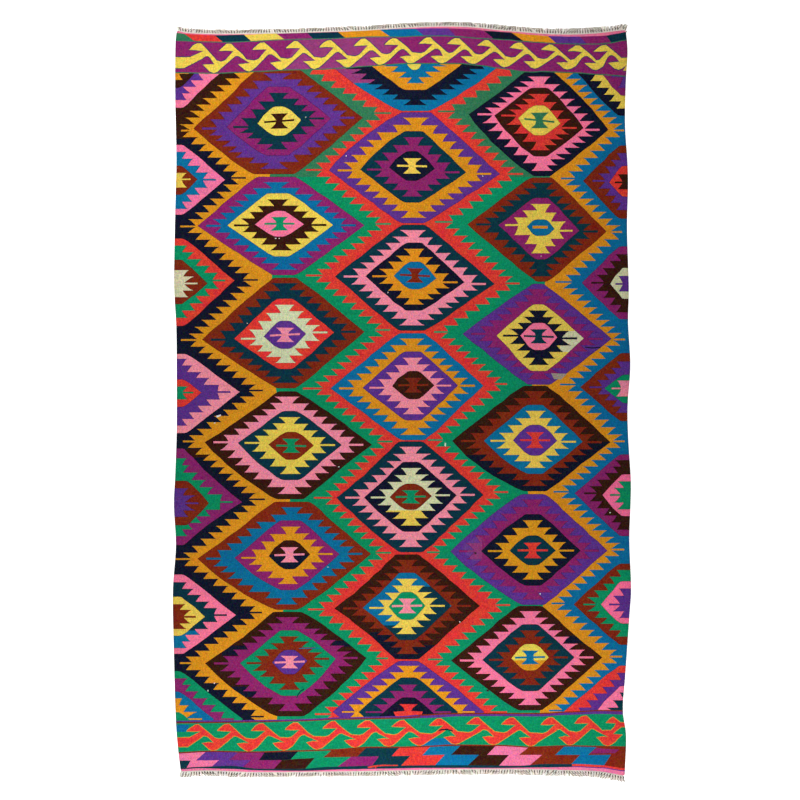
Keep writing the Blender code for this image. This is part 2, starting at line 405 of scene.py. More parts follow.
def weave_medallion(m):
    outer = Six(
        Tip(m.column - m.left, m.row - m.left_up), Tip(m.column + m.right, m.row - m.right_up),
        Flat(*m.top, m.row - m.up), Flat(*m.bottom, m.row + m.down), m.bows,
    )
    core = Six(
        Tip(m.column - m.core_wide, m.row - m.left_up * TIP_FOLLOWS_CORE),
        Tip(m.column + m.core_wide, m.row - m.right_up * TIP_FOLLOWS_CORE),
        Flat(m.column - CORE_FLAT, m.column + CORE_FLAT, m.row - m.core_high),
        Flat(m.column - CORE_FLAT, m.column + CORE_FLAT, m.row + m.core_high),
        Bows(1, 1, 1, 1),
    )
    inner = nudged(between(core, outer, m.row), *m.nudge)
    small = m.core_wide < SMALL_CORE
    lay_with_slit(m.yarns[0], outline(outer))
    lay_with_slit(m.yarns[1], toothed(outer, WIDE_TEETH._replace(first_half=m.hat + HAT_MORE)))
    lay_with_slit(m.yarns[2], outline(inner))
    lay_with_slit(m.yarns[3], toothed(inner, SMALL_CORE_TEETH if small else SMALL_TEETH))
    lay_with_slit(m.yarns[4], outline(core))
    if small:
        row = m.row - SMALL_BAR_UP
        lay(m.yarns[5], bar(m.column - SMALL_BAR_LEFT, row, m.column + SMALL_BAR_RIGHT, row,
                            SMALL_BAR_THICK))
        return
    lay(m.yarns[5], hourglass(m.column, m.row, m.core_high))
    tilt = (m.left_up - m.right_up) * BAR_TILT
    lay(m.yarns[5], bar(m.column - BAR_REACH, m.row - tilt, m.column + BAR_REACH, m.row + tilt,
                        BAR_THICK))


small_cores = sum(m.core_wide < SMALL_CORE for m in MEDALLIONS.values())
print("whole medallions with a small core:", small_cores)

# %% [markdown]
# The half medallions have no core, and the weaver drew each one differently. A half is written as
# two hexagons and two sets of teeth: how far its tip lies out, in which row, how much of a flat
# run it has, and where it starts and stops. A set of teeth says how many rows of them lie above
# and below the bar, how far the first row is from the hexagon's end and how wide it is.

# %% The half medallions at the selvedges
Hexagon = namedtuple("Hexagon", "tip row flat top bottom bow")
Rows = namedtuple("Rows", "up down gap_up gap_down first", defaults=(11.5,))
HalfMedallion = namedtuple("HalfMedallion", "outer inner rows inset length fine_rows yarns")
LEFT_SELVEDGE, RIGHT_SELVEDGE = 175.5, 627.5
LEFT_HALVES = {
    "row 0": HalfMedallion(
        Hexagon(228, 66.5, 9, 20, 107.8, -2), Hexagon(201, 66.5, 5.5, 42, 87.8, 0),
        Rows(5, 5, 7.8, 7.8), 7.5, 13, Rows(2, 2, 7.8, 7.8, 8),
        ("pink", "purple", "dark brown", "orange"),
    ),
    "row 1": HalfMedallion(
        Hexagon(225, 179.8, 9, 145, 214.7, 0), Hexagon(197.4, 179.4, 7.5, 166, 194.6, 0),
        Rows(4, 4, 7, 5.7), 7.5, 12, Rows(1, 1, 7, 7, 11.5),
        ("pink", "blue", "rust", "yellow"),
    ),
    "row 2": HalfMedallion(
        Hexagon(234.5, 280.5, 9.5, 238.7, 326, 0), Hexagon(207.4, 283.5, 8, 260, 304, 0),
        Rows(5, 5, 6.9, 8.2), 6.7, 14.5, Rows(2, 2, 10.2, 6.8, 12.5),
        ("red", "green", "rust", "cream"),
    ),
    "row 3": HalfMedallion(
        Hexagon(239.6, 392, 12, 354, 433, 0), Hexagon(201.3, 392.6, 9.5, 379.5, 406.8, 0),
        Rows(5, 5, 4.9, 7.4), 10.5, 14, Rows(1, 1, 7, 7.5, 12.5),
        ("dusty pink", "purple", "red", "green"),
    ),
    "row 4": HalfMedallion(
        Hexagon(242.1, 502, 10, 448.5, 545, -4), Hexagon(208.8, 503.2, 13, 481, 525, 0),
        Rows(6, 5, 9.8, 9), 9.5, 15, Rows(2, 2, 7.3, 8.3, 12.5),
        ("magenta", "green", "rust", "purple"),
    ),
    "row 5": HalfMedallion(
        Hexagon(236, 615, 9.5, 574.5, 653.7, 0), Hexagon(204.9, 616.8, 7, 596.7, 635.6, 0),
        Rows(5, 5, 7.7, 5.7), 10, 14, Rows(2, 2, 7.5, 6.7, 10.5),
        ("pink", "dark teal", "yellow", "rust"),
    ),
    "row 6": HalfMedallion(
        Hexagon(243, 719, 6, 671, 780, 0), Hexagon(214, 719, 5, 691.5, 760, 0),
        Rows(6, 6, 7.3, 7.3), 8.8, 13, Rows(3, 3, 6.8, 6.8, 7),
        ("green", "magenta", "blue", "orange"),
    ),
}
RIGHT_HALVES = {
    "row 0": HalfMedallion(
        Hexagon(570, 66, 10.5, 10, 115.5, 0), Hexagon(595, 66, 8, 30, 95.6, 0),
        Rows(6, 6, 6.9, 6.9), 6.2, 10.5, Rows(2, 2, 7.6, 7.6, 9),
        ("navy", "yellow", "magenta", "purple"),
    ),
    "row 1": HalfMedallion(
        Hexagon(583.3, 180.9, 9.5, 145.8, 218.5, 0), Hexagon(609.3, 182.4, 6.5, 166, 196.6, 0),
        Rows(4, 4, 7.5, 8.5), 7.3, 9.5, Rows(1, 1, 8.4, 7.3, 9.5),
        ("rust", "purple", "red", "dark brown"),
    ),
    "row 2": HalfMedallion(
        Hexagon(582, 282.8, 9.5, 246.7, 319, 0), Hexagon(610.2, 284, 6.5, 268, 298.8, 0),
        Rows(4, 4, 7.7, 6.7), 6.3, 10.6, Rows(1, 1, 8, 7.3, 9.5),
        ("magenta", "dark brown", "cream", "purple"),
    ),
    "row 3": HalfMedallion(
        Hexagon(580.3, 387.2, 8.5, 353.3, 421, 0), Hexagon(604.5, 388.4, 6, 374.8, 403, 0),
        Rows(4, 4, 8.3, 8.4), 9, 10, Rows(1, 1, 5.8, 6.6, 11),
        ("rust", "purple", "green", "dusty pink"),
    ),
    "row 4": HalfMedallion(
        Hexagon(574.8, 493.2, 9, 454.6, 535.8, 0), Hexagon(602.4, 494.9, 7, 474.4, 516, 0),
        Rows(5, 5, 5.6, 6.2), 6.9, 11, Rows(2, 2, 6.9, 6.7, 10),
        ("magenta", "dark brown", "hot pink", "green"),
    ),
    "row 5": HalfMedallion(
        Hexagon(573.9, 604.4, 9.5, 563.8, 644.5, 0), Hexagon(601, 604.4, 8, 581.3, 623.4, 0),
        Rows(5, 5, 6.1, 8), 5.5, 12, Rows(2, 2, 7.2, 5.6, 8),
        ("rust", "green", "hot pink", "purple"),
    ),
    "row 6": HalfMedallion(
        Hexagon(560, 715, 10, 665.7, 770, 0), Hexagon(592, 716, 9, 686, 745, 0),
        Rows(6, 6, 7.1, 7.1), 8.5, 10, Rows(3, 3, 6.4, 6.4, 8),
        ("red", "purple", "pink", "dark teal"),
    ),
}
print("half medallions:", len(LEFT_HALVES) + len(RIGHT_HALVES))

# %% Weave one half medallion
HALF_TEETH = WIDE_TEETH._replace(spread=9, neck=6.5, root=22, bar=1.5, bar_inset=9.3)
HALF_SMALL_TEETH = HALF_TEETH._replace(length=10.8, neck=3.6)
FINE_INSET, FINE_ROOT, FINE_BAR = 0.2, 0.72, 0.31  # shares of the inner hexagon's reach


def weave_half(h, selvedge, outer_teeth=(), inner_teeth=()):
    """Lays a medallion that is whole in the chart and that the selvedge or the border then cuts."""

    def six(hexagon):
        reach = abs(hexagon.tip - selvedge)
        first, last = selvedge - hexagon.flat, selvedge + hexagon.flat
        return Six(Tip(selvedge - reach, hexagon.row), Tip(selvedge + reach, hexagon.row),
                   Flat(first, last, hexagon.top), Flat(first, last, hexagon.bottom),
                   Bows(*[hexagon.bow] * 4))

    reach = abs(h.inner.tip - selvedge)
    wide, fine = (
        teeth._replace(gap_up=rows.gap_up, gap_down=rows.gap_down, upper=rows.up, lower=rows.down,
                       first_half=rows.first)
        for teeth, rows in ((HALF_TEETH, h.rows), (HALF_SMALL_TEETH, h.fine_rows))
    )
    wide = wide._replace(inset=h.inset, length=h.length)._replace(**dict(outer_teeth))
    fine = fine._replace(inset=reach * FINE_INSET, root=reach * FINE_ROOT, bar_inset=reach * FINE_BAR)
    fine = fine._replace(**dict(inner_teeth))
    lay_with_slit(h.yarns[0], outline(six(h.outer)))
    lay_with_slit(h.yarns[1], toothed(six(h.outer), wide))
    lay_with_slit(h.yarns[2], outline(six(h.inner)))
    lay_with_slit(h.yarns[3], toothed(six(h.inner), fine))


print("a half medallion's small teeth stay", FINE_INSET, "of its inner reach inside it")

# %% [markdown]
# The end borders cut two more medallions in the middle row. They are written like the half ones,
# round their own middle column, and each has its own small teeth and core.

# %% The two medallions that the end borders cut
CUT_TOP_COLUMN, CUT_BOTTOM_COLUMN = 415.2, 408.4
CUT_TOP = HalfMedallion(
    Hexagon(503, 63, 16, 15, 111, 4), Hexagon(467, 60, 12, 38, 90, 0), Rows(7, 8, 5.3, 5.8, 12),
    11, 15.5, Rows(4, 4, 6.8, 6.8, 8.8), ("blue", "navy", "orange", "blue"),
)
CUT_BOTTOM = HalfMedallion(
    Hexagon(484, 711.8, 11, 661, 760, 1.5), Hexagon(458, 712, 9, 677.6, 745, 0),
    Rows(7, 7, 4.7, 5, 11), 7.5, 15.5, Rows(4, 4, 7, 7, 9.5),
    ("purple", "orange", "dark teal", "magenta"),
)
CUT_TOP_CORE = (
    (406.3, 62), (421.8, 62), (420.5, 66), (418.3, 69), (416, 69.9), (413, 69.9), (410.8, 68.8),
    (408, 66),
)
CUT_BOTTOM_MIDDLE = Six(
    Tip(375, 720), Tip(440, 719), Flat(401, 416, 697.5), Flat(401, 416, 742), STRAIGHT
)
CUT_BOTTOM_CORE = (
    (399.5, 704), (417.5, 704.2), (413, 707.5), (411.3, 710.8), (422.8, 711.6), (420.5, 717),
    (396, 717), (393.5, 711.8), (404.8, 710.8), (403.5, 707.5),
)


def weave_cut_ones():
    weave_half(CUT_TOP, CUT_TOP_COLUMN, {"spread": 0, "neck": 4},
               {"spread": 0, "neck": 3.3, "inset": 11, "length": 15.5})
    lay_with_slit("yellow", list(CUT_TOP_CORE))
    weave_half(CUT_BOTTOM, CUT_BOTTOM_COLUMN, {"spread": 0, "neck": 4.2},
               {"spread": 0, "neck": 3.6, "inset": 6, "length": 15.5, "root": 24, "bar_inset": 7})
    lay_with_slit("navy", outline(CUT_BOTTOM_MIDDLE))
    lay_with_slit("red", list(CUT_BOTTOM_CORE))


print("cut medallions in columns", CUT_TOP_COLUMN, "and", CUT_BOTTOM_COLUMN)

# %% [markdown]
# ## The ground
#
# Between the medallions the ground changes colour along toothed lines that run from one end of
# the rug to the other and swing left and right round the medallions' tips. Where a line turns, its
# last tooth is drawn out into a thin bar. Each turn below says which row it is in, where the bar
# starts and where it ends, and how far the line below it bows out. A ground lies over the one to
# its left, so we lay them in that order.

# %% The toothed edges of the grounds
Turn = namedtuple("Turn", "row root tip bow", defaults=(0,))
EDGE_NAVY_ORANGE = (
    Turn(66, 241, 256, -5), Turn(130.7, 190, 181), Turn(178, 231, 246), Turn(226.5, 196, 180.5),
    Turn(280, 243, 258), Turn(340, 197, 181), Turn(390.5, 249, 263), Turn(441.4, 195, 183),
    Turn(499.3, 249, 265), Turn(559, 191, 173), Turn(612.5, 250, 262), Turn(663, 192, 180),
    Turn(716.5, 251, 264), Turn(780, 200, 185),
)
EDGE_GREEN_RED = (
    Turn(62, 304, 289), Turn(113.2, 374, 391), Turn(170, 323, 306), Turn(224, 375, 391),
    Turn(275.5, 323, 306), Turn(330, 375, 390), Turn(388.5, 323, 303), Turn(441.5, 377, 392.5),
    Turn(497.8, 333, 314), Turn(552.7, 375.5, 391), Turn(609.3, 325, 308), Turn(658.2, 376, 388),
    Turn(714, 332, 315), Turn(770, 376, 390),
)
EDGE_RED_GREEN = (
    Turn(62, 520, 536), Turn(111.5, 455, 438), Turn(174, 507, 523), Turn(222, 453, 435),
    Turn(283.5, 505, 519.5), Turn(332, 448, 434), Turn(384, 494, 507), Turn(440, 443, 428),
    Turn(492, 493, 508), Turn(552.2, 440, 427), Turn(605, 495, 510), Turn(659.3, 443, 428),
    Turn(712, 490, 507), Turn(770, 440, 425),
)
EDGE_ORANGE_BLUE = (
    Turn(60, 563, 548), Turn(130.5, 613, 624), Turn(178.5, 575, 561), Turn(232, 611, 622),
    Turn(282, 572, 555.5), Turn(339.5, 613, 625), Turn(384.5, 576, 560), Turn(441.3, 613, 624.5),
    Turn(491.7, 569, 553.5), Turn(549.5, 611, 624), Turn(603.3, 565, 551.5), Turn(656.5, 609, 622),
    Turn(710.5, 562, 549), Turn(770, 606, 620),
)
GROUND_TOOTH, GROUND_PITCH, GROUND_BAR = 15.2, 6.7, 1.7
FIELD_TOP, FIELD_BOTTOM = 50, 740
FAR_LEFT, FAR_RIGHT = 160, 645
S_CURVE = ((0.35, 0.24), (0.7, 0.66))  # how far across and how far down two points of it lie


def s_curved(start, stop):
    """Points along the slanting edge that two neighbouring teeth share, thin at both tips."""
    return [(mix(start[0], stop[0], across), mix(start[1], stop[1], down)) for across, down in S_CURVE]


def edge_between(turns):
    """The toothed line through a table of turns, from the top of the field down."""
    points = []
    for above, below in zip(turns, turns[1:]):
        above_side = 1 if above.tip > above.root else -1
        start = above.root + above_side * GROUND_TOOTH / 2
        stop = below.root - above_side * GROUND_TOOTH / 2
        points += [(above.tip, above.row + GROUND_BAR / 2), (above.root, above.row + GROUND_BAR / 2)]
        count = round((below.row - above.row) / GROUND_PITCH)
        for k in range(1, count):
            t = k / count
            middle = mix(start, stop, t) + above.bow * 4 * t * (1 - t) + shaky(TOOTH_SHAKE)
            row = mix(above.row, below.row, t) + shaky(ROW_SHAKE)
            first = (middle + above_side * GROUND_TOOTH / 2, row)
            points += s_curved(points[-1], first)
            points += [first, (middle - above_side * GROUND_TOOTH / 2, row)]
        root = (below.root, below.row - GROUND_BAR / 2)
        points += s_curved(points[-1], root) + [root, (below.tip, root[1])]
    return points


def lay_right_of(yarn, line):
    lay(yarn, line + [(FAR_RIGHT, line[-1][1]), (FAR_RIGHT, line[0][1])])


edges = (EDGE_NAVY_ORANGE, EDGE_GREEN_RED, EDGE_RED_GREEN, EDGE_ORANGE_BLUE)
print("toothed edges:", len(edges), " turns:", sum(len(turns) for turns in edges))

# %% [markdown]
# The thin ground lines between stacked medallions show both grounds, and the weaver changed yarn
# at a different place in each.

# %% Lay the grounds
Change = namedtuple("Change", "row column")
ORANGE_TO_GREEN = (
    Change(50, 275), Change(176, 270), Change(277, 272), Change(389, 276), Change(500, 290),
    Change(611, 283), Change(717, 277), Change(740, 277),
)
GREEN_TO_ORANGE = (
    Change(50, 556), Change(177, 550), Change(283, 545), Change(385, 532), Change(492, 528),
    Change(605, 543), Change(711, 540), Change(740, 540),
)
SEA_GREEN_ENDS = 177  # the row down to which the green ground is sea green


def plain_edge(changes):
    return [(change.column, change.row) for change in changes]


def block(first, top, last, bottom):
    return [(first, top), (last, top), (last, bottom), (first, bottom)]


lay("navy", block(FAR_LEFT, FIELD_TOP, FAR_RIGHT, FIELD_BOTTOM))
lay("dark brown", [(FAR_LEFT, FIELD_TOP), (260, FIELD_TOP), (260, 135), (195, 138), (FAR_LEFT, 140)])
lay_right_of("orange", edge_between(EDGE_NAVY_ORANGE))
lay_right_of("green", plain_edge(ORANGE_TO_GREEN))
lay_right_of("red", edge_between(EDGE_GREEN_RED))
lay_right_of("green", edge_between(EDGE_RED_GREEN))
lay_right_of("orange", plain_edge(GREEN_TO_ORANGE))
lay_right_of("blue", edge_between(EDGE_ORANGE_BLUE))
lay("sea green", block(FAR_LEFT, FIELD_TOP, FAR_RIGHT, SEA_GREEN_ENDS), "green")
print("shapes in the grounds:", len(chart))

# %% Weave the medallions over the grounds
for medallion in MEDALLIONS.values():
    weave_medallion(medallion)
for half in LEFT_HALVES.values():
    weave_half(half, LEFT_SELVEDGE)
for half in RIGHT_HALVES.values():
    weave_half(half, RIGHT_SELVEDGE)
weave_cut_ones()
lay("green", [(160, 712), (179, 712), (184, 715), (188, 718.5), (192, 721), (160, 721)])
print("shapes on the chart so far:", len(chart))

# %% [markdown]
# ## Small surprises
#
# When a ball of yarn ran out, the weaver went on with the nearest colour at hand. These shapes
# swap one yarn for another inside a small area.

# %% Where a yarn ran out
Swap = namedtuple("Swap", "old new points")
SWAPS = (
    Swap("blue", "magenta", block(320, 60, 375, 83)),
    Swap("yellow", "cream", block(560, 331, 583, 352)),
    Swap("dark brown", "navy", block(450, 455, 536, 492)),
    Swap("dark brown", "navy", block(574, 442, 612, 470)),
    Swap("dark brown", "navy", block(536, 456, 590, 492)),
    Swap("cream", "yellow", block(385, 510.3, 432, 526)),
    Swap("navy", "dark brown", block(266, 540, 312, 554.7)),
    Swap("dark brown", "navy", block(222, 645.5, 262, 655.5)),
    Swap("dark brown", "navy", block(228, 686.4, 268, 697)),
    Swap("dark brown", "navy", block(332, 640.6, 352, 646.6)),
    Swap("dark brown", "navy", block(370, 632.2, 408, 660)),
    Swap("dark brown", "navy", block(408, 645, 440, 660)),
    Swap("dark brown", "navy", block(565, 635.5, 585, 643)),
    Swap("blue", "dark teal", block(410, 586.5, 450, 640)),
    Swap("blue", "dark teal", block(360, 625.3, 412, 640)),
    Swap("dark teal", "blue", block(170, 630.5, 205, 650)),
    Swap("yellow", "orange", block(512, 660.2, 550, 672)),
    Swap("navy", "dark brown", block(176, 449, 208, 457.5)),
    Swap("magenta", "paler magenta", [(465, 543), (478, 536), (482, 538), (482, 560), (471, 560)]),
    Swap("purple", "faded purple", [(461, 548), (478, 535), (482, 538), (482, 561), (473, 561)]),
)
for swap in SWAPS:
    lay(swap.new, swap.points, swap.old)
print("places with another yarn:", len(SWAPS))

# %% [markdown]
# A rug that has been walked on for years also has its marks: a mended place, a few threads of
# another colour, three small stains, and bits of pale lint that no brush gets out. They are tiny,
# but without them the rug looks printed. Each is one more flat shape on the chart.

# %% Mended places, stray threads and stains
lay("repair", [(551, 373.2), (567, 373.8), (561, 379.4), (554, 379.2)])
lay("navy", [(585, 346.6), (592, 347.4), (601, 346.8), (600, 348), (592, 348.6), (585, 347.6)])
lay("blue", bar(299, 648.4, 321, 648, 0.8))
lay("dark teal", [(304, 688.4), (300.2, 690.8), (298, 693.6), (296.2, 698), (297, 698.2),
                  (298.8, 694.4), (300.8, 691.8), (304.4, 689.4)])
STAINS = ((475.4, 553), (487.6, 690.4), (347, 38.5))
STAIN_HALF, STAIN_TILT, STAIN_THICK = 1.1, 0.2, 1.8
for column, row in STAINS:
    lay("stain", bar(column - STAIN_HALF, row - STAIN_TILT,
                     column + STAIN_HALF, row + STAIN_TILT, STAIN_THICK))
print("stains:", len(STAINS))

# %% Lint caught in the weave
Lint = namedtuple("Lint", "column row length rise thick")
LINT = (
    Lint(218.7, 415.9, 4.4, -1.4, 1.7), Lint(445.3, 444.6, 1.3, 0.5, 3.4),
    Lint(214.8, 422.9, 1.3, 0.0, 0.9), Lint(214.4, 683.2, 1.1, 0.0, 1.0),
    Lint(208.0, 690.6, 1.0, 0.0, 1.6), Lint(346.2, 156.0, 0.7, 0.0, 1.2),
    Lint(247.3, 323.3, 1.1, 0.0, 0.7), Lint(482.7, 176.2, 1.1, 0.4, 0.9),
    Lint(388.0, 292.4, 0.8, 0.0, 1.2), Lint(275.8, 238.4, 1.3, 0.0, 0.7),
    Lint(279.2, 238.4, 1.1, 0.0, 0.7), Lint(541.0, 256.4, 0.5, 0.0, 1.4),
    Lint(338.8, 466.8, 1.1, 0.0, 1.0), Lint(328.0, 567.0, 1.0, 0.0, 0.7),
    Lint(459.8, 621.8, 1.1, 0.2, 1.1), Lint(540.2, 593.9, 1.2, 0.2, 1.2),
    Lint(610.0, 512.6, 1.2, 0.0, 1.0), Lint(305.8, 117.2, 1.0, 0.0, 0.7),
)
for lint in LINT:
    half, half_rise = lint.length / 2, lint.rise / 2
    lay("lint", bar(lint.column - half, lint.row - half_rise, lint.column + half,
                    lint.row + half_rise, lint.thick))
print("bits of lint:", len(LINT))

# %% [markdown]
# ## The end borders
#
# At each end the field stops at a line, and narrow bands follow: a running scroll with hooks on a
# plain ground, slanting blocks, and a pink stripe before the warps come out. These bands aren't
# straight, because the rug was woven by hand and pulled a little out of true, so each line is a
# table of places it passes through. A strip is laid down to the cloth's very end and the next one
# over it, so no gap can open between them.

# %% Lines that wander across the rug
Place = namedtuple("Place", "column row")


def through(*numbers):
    """A wandering line: column, row, column, row and so on."""
    return [Place(*numbers[i:i + 2]) for i in range(0, len(numbers), 2)]


def row_at(line, column):
    """The row of a wandering line at a column."""
    if column <= line[0].column:
        return line[0].row
    for a, b in zip(line, line[1:]):
        if column <= b.column:
            t = (column - a.column) / (b.column - a.column)
            return mix(a.row, b.row, t * t * (3 - 2 * t))
    return line[-1].row


STRIP_STEP = 8  # columns between the points that draw a wandering line


def strip(yarn, above, below, first=FAR_LEFT, last=FAR_RIGHT):
    """Lays the strip between two wandering lines."""
    count = max(1, round((last - first) / STRIP_STEP))
    columns = [mix(first, last, k / count) for k in range(count + 1)]
    lay(yarn, [(c, row_at(above, c)) for c in columns]
        + [(c, row_at(below, c)) for c in reversed(columns)])


def shifted(line, rows):
    return [Place(place.column, place.row + rows) for place in line]


ABOVE_THE_CLOTH, BELOW_THE_CLOTH = through(400, 10), through(400, 790)
print("a level line lies in row", row_at(ABOVE_THE_CLOTH, 200), "all the way")

# %% [markdown]
# The scroll is one motif, charted once: a hook that leans back over the stem, and a second hook
# hanging under it. Heights run from 0 at the top of the border to 1 at its foot, and columns
# count from the crest of the upper hook or from the foot of the lower one. Every repeat in the
# rug is a little wider or narrower, so the crests and feet have their own tables. The valleys
# between the hooks hang lower in one border than in the other, and the sag says how much.

# %% Build a scroll
Point = namedtuple("Point", "across height")
UPPER_HOOK = (
    Point(3.8, 0.29), Point(-4, 0.275), Point(-10.5, 0.275), Point(-9.5, 0.235), Point(-6, 0.13),
    Point(-2.6, 0.055), Point(1.2, 0.05), Point(5, 0.17), Point(12.5, 0.4), Point(17.5, 0.52),
)
VALLEY = (Point(-8.5, 0.56), Point(-4.5, 0.52))
VALLEY_STARTS = 15  # columns past a crest, where its upper edge has come down to the valley
INNER_CREST = (Point(3.2, 0.52), Point(5.8, 0.45), Point(8.6, 0.45), Point(11, 0.5))
ACROSS_SHAKE, HOOK_SHAKE, CREST_SHAKE = 0.5, 0.008, 0.01
YELLOW_SCROLL_EDGE, RED_SCROLL_EDGE = 0.8, 0.6  # how wide the line of another yarn round each is
LOWER_HOOK = (
    Point(0.4, 0.705), Point(-5, 0.7), Point(-11.5, 0.72), Point(-8.2, 0.81), Point(-4.2, 0.93),
    Point(-0.5, 0.975), Point(3.4, 0.93), Point(7.5, 0.83),
)


def scroll(top, bottom, crests, feet, left_end, right_end, sag):
    """The scroll's outline. left_end and right_end finish it at the selvedges."""

    def at(column, height):
        return column, mix(row_at(top, column), row_at(bottom, column), height)

    upper = []
    for i, crest in enumerate(crests):
        upper += [at(crest + p.across + (shaky(ACROSS_SHAKE) if k > 2 else 0),
                     p.height + (sag if p.across > VALLEY_STARTS else 0) + shaky(HOOK_SHAKE))
                  for k, p in enumerate(UPPER_HOOK)]
        if i + 1 < len(crests):
            upper += [at(crests[i + 1] + p.across, p.height + sag + shaky(CREST_SHAKE)) for p in VALLEY]
    lower = []
    for crest, foot in zip(crests, feet):
        lower += [at(crest + p.across, p.height + shaky(CREST_SHAKE)) for p in INNER_CREST]
        lower += [at(foot + p.across + (shaky(ACROSS_SHAKE) if k > 1 else 0),
                     p.height + shaky(HOOK_SHAKE)) for k, p in enumerate(LOWER_HOOK)]
    return left_end + upper + right_end + lower[::-1]


print("points in one repeat:", sum(map(len, (UPPER_HOOK, VALLEY, INNER_CREST, LOWER_HOOK))))

# %% The top border
FIELD_END_TOP = through(
    176, 73.3, 215, 74, 240, 73, 260, 72, 290, 70.5, 320, 70, 345, 68.6, 365, 67, 390, 65.2, 405, 64.2,
    460, 64.2, 480, 66, 500, 69, 520, 71.8, 530, 73, 540, 72, 560, 72.8, 575, 73.5, 600, 75.2,
    627, 76.8,
)
SCROLL_FOOT_TOP = [place for place in FIELD_END_TOP if place.column < 470] + through(
    480, 65.2, 500, 67.8, 520, 69.3, 540, 69.6, 567, 70.3, 595, 71.1, 627, 70.6,
)
BAND_FOOT_TOP = through(
    176, 40.5, 190, 41.2, 205, 42, 230, 42.3, 250, 41.5, 280, 40, 312, 39.2, 330, 38.7, 350, 38, 370, 37,
    400, 37, 420, 36, 445, 36, 460, 37, 480, 38.6, 510, 40, 520, 41.3, 540, 42.6, 556, 43.6, 580, 44.2,
    600, 44.2, 610, 43, 627, 40,
)
STRIPE_FOOT_TOP = through(
    176, 32.9, 190, 34.4, 215, 35.4, 245, 34.8, 280, 33.4, 310, 32.8, 340, 32.1, 370, 30.2, 400, 29,
    430, 28.4, 450, 28.4, 470, 29.2, 490, 31.2, 510, 32.5, 530, 34.8, 550, 36.2, 570, 36.8, 605, 36,
    615, 34, 627, 32,
)
TOP_CRESTS = (199.5, 229.7, 263, 296.5, 330, 364, 395, 429, 457.5, 487.5, 520, 551.5, 578.5, 604)
TOP_FEET = (214, 249.5, 281.5, 315, 347.5, 381, 411, 442.5, 472.5, 504.5, 535, 568, 596, 619)
Block = namedtuple("Block", "yarn top_end foot_end")
SHORT_OF_END = 4  # how far before a block's slanting end the points along its edges stop
TOP_BLOCKS = (
    Block("sea green", 184.5, 195), Block("red", 214.5, 223), Block("dark teal", 244, 251.5),
    Block("yellow", 276, 285), Block("magenta", 307, 313.5), Block("dark teal", 338, 345.5),
    Block("orange", 380, 390.5), Block("blue", 415, 424.5), Block("purple", 448, 456.5),
    Block("magenta", 484, 494), Block("navy", 511, 524), Block("orange", 548, 556.5),
    Block("purple", 579.5, 587), Block("magenta", 606, 611.5), Block("dark teal", 645, 650),
)


def slanting_blocks(blocks, above, below):
    """Lays a band of blocks from right to left, each ending in a slant over the next one."""
    for yarn, top_end, foot_end in reversed(blocks):
        until = min(top_end, foot_end) - SHORT_OF_END
        columns = [c for c in range(FAR_LEFT, FAR_RIGHT, STRIP_STEP) if c < until]
        top = [(c, row_at(above, c)) for c in columns + [top_end]]
        foot = [(c, row_at(below, c)) for c in columns + [foot_end]]
        lay(yarn, top + foot[::-1])


strip("magenta", ABOVE_THE_CLOTH, FIELD_END_TOP)
yellow_scroll = scroll(
    BAND_FOOT_TOP, SCROLL_FOOT_TOP, TOP_CRESTS, TOP_FEET,
    [(184, 68.2), (170, 68.5), (170, 57), (184, 57.4), (190, 57.2)],
    [(632, 57.5), (632, 70.6), (623, 70.8)], sag=0.055,
)
lay("deep blue", widened(yellow_scroll, YELLOW_SCROLL_EDGE))
lay("yellow", yellow_scroll)
strip("sea green", shifted(FIELD_END_TOP, -1.0), FIELD_END_TOP)
strip("pink", ABOVE_THE_CLOTH, STRIPE_FOOT_TOP)
slanting_blocks(TOP_BLOCKS, STRIPE_FOOT_TOP, BAND_FOOT_TOP)
strip("sea green", shifted(BAND_FOOT_TOP, -0.5), shifted(BAND_FOOT_TOP, 0.4))
print("the top border has", len(TOP_CRESTS), "hooks and", len(TOP_BLOCKS), "blocks")

# %% The bottom border
FIELD_END_BOTTOM = through(
    172, 720.6, 230, 720.2, 260, 719.8, 290, 719.3, 310, 718.6, 340, 717.2, 400, 716, 420, 714.6,
    450, 713.2, 480, 713, 540, 713, 570, 711.4, 600, 710, 627, 710.4,
)
SCROLL_TOP_BOTTOM = through(
    172, 723.4, 230, 722.8, 260, 722.2, 300, 721.2, 340, 719.6, 400, 718.8, 430, 717.8, 460, 716.2,
    500, 716, 540, 716.4, 570, 714.8, 600, 713.8, 627, 714.6,
)
SCROLL_FOOT_BOTTOM = through(
    172, 752.8, 210, 751, 250, 751.8, 300, 750.6, 330, 749.6, 370, 747, 400, 747, 430, 746, 450, 744.8,
    500, 745.2, 530, 746.8, 570, 745.6, 600, 746.2, 627, 746.8,
)
ROW_FOOT = through(
    172, 760.5, 230, 760, 280, 760, 300, 758.7, 330, 757, 370, 756.4, 400, 755.8, 450, 754.6, 520, 754.8,
    600, 754.8, 627, 754.2,
)
BLOCKS_FOOT = through(
    172, 768.8, 200, 766.6, 230, 765.6, 260, 768.6, 300, 768.7, 330, 766.6, 370, 765.6, 450, 765,
    520, 765.6, 545, 763.8, 580, 764, 600, 765, 627, 768.4,
)
STRIPE_TOP_BOTTOM = through(
    172, 769.6, 200, 768.1, 230, 768.8, 260, 770.3, 300, 770.7, 350, 769.2, 385, 768.5, 420, 767.9,
    450, 767.9, 500, 767.9, 540, 767.4, 575, 766.9, 600, 768, 627, 771.4,
)
BOTTOM_CRESTS = (197.5, 228, 262, 296, 333.5, 368, 402.5, 440, 477, 512, 551.5, 585)
BOTTOM_FEET = (213.6, 249, 284.5, 318, 356, 389, 420, 456, 494, 531, 570, 608)
YARN_CHANGES = 572  # the column where the narrow line under the blocks changes its yarn
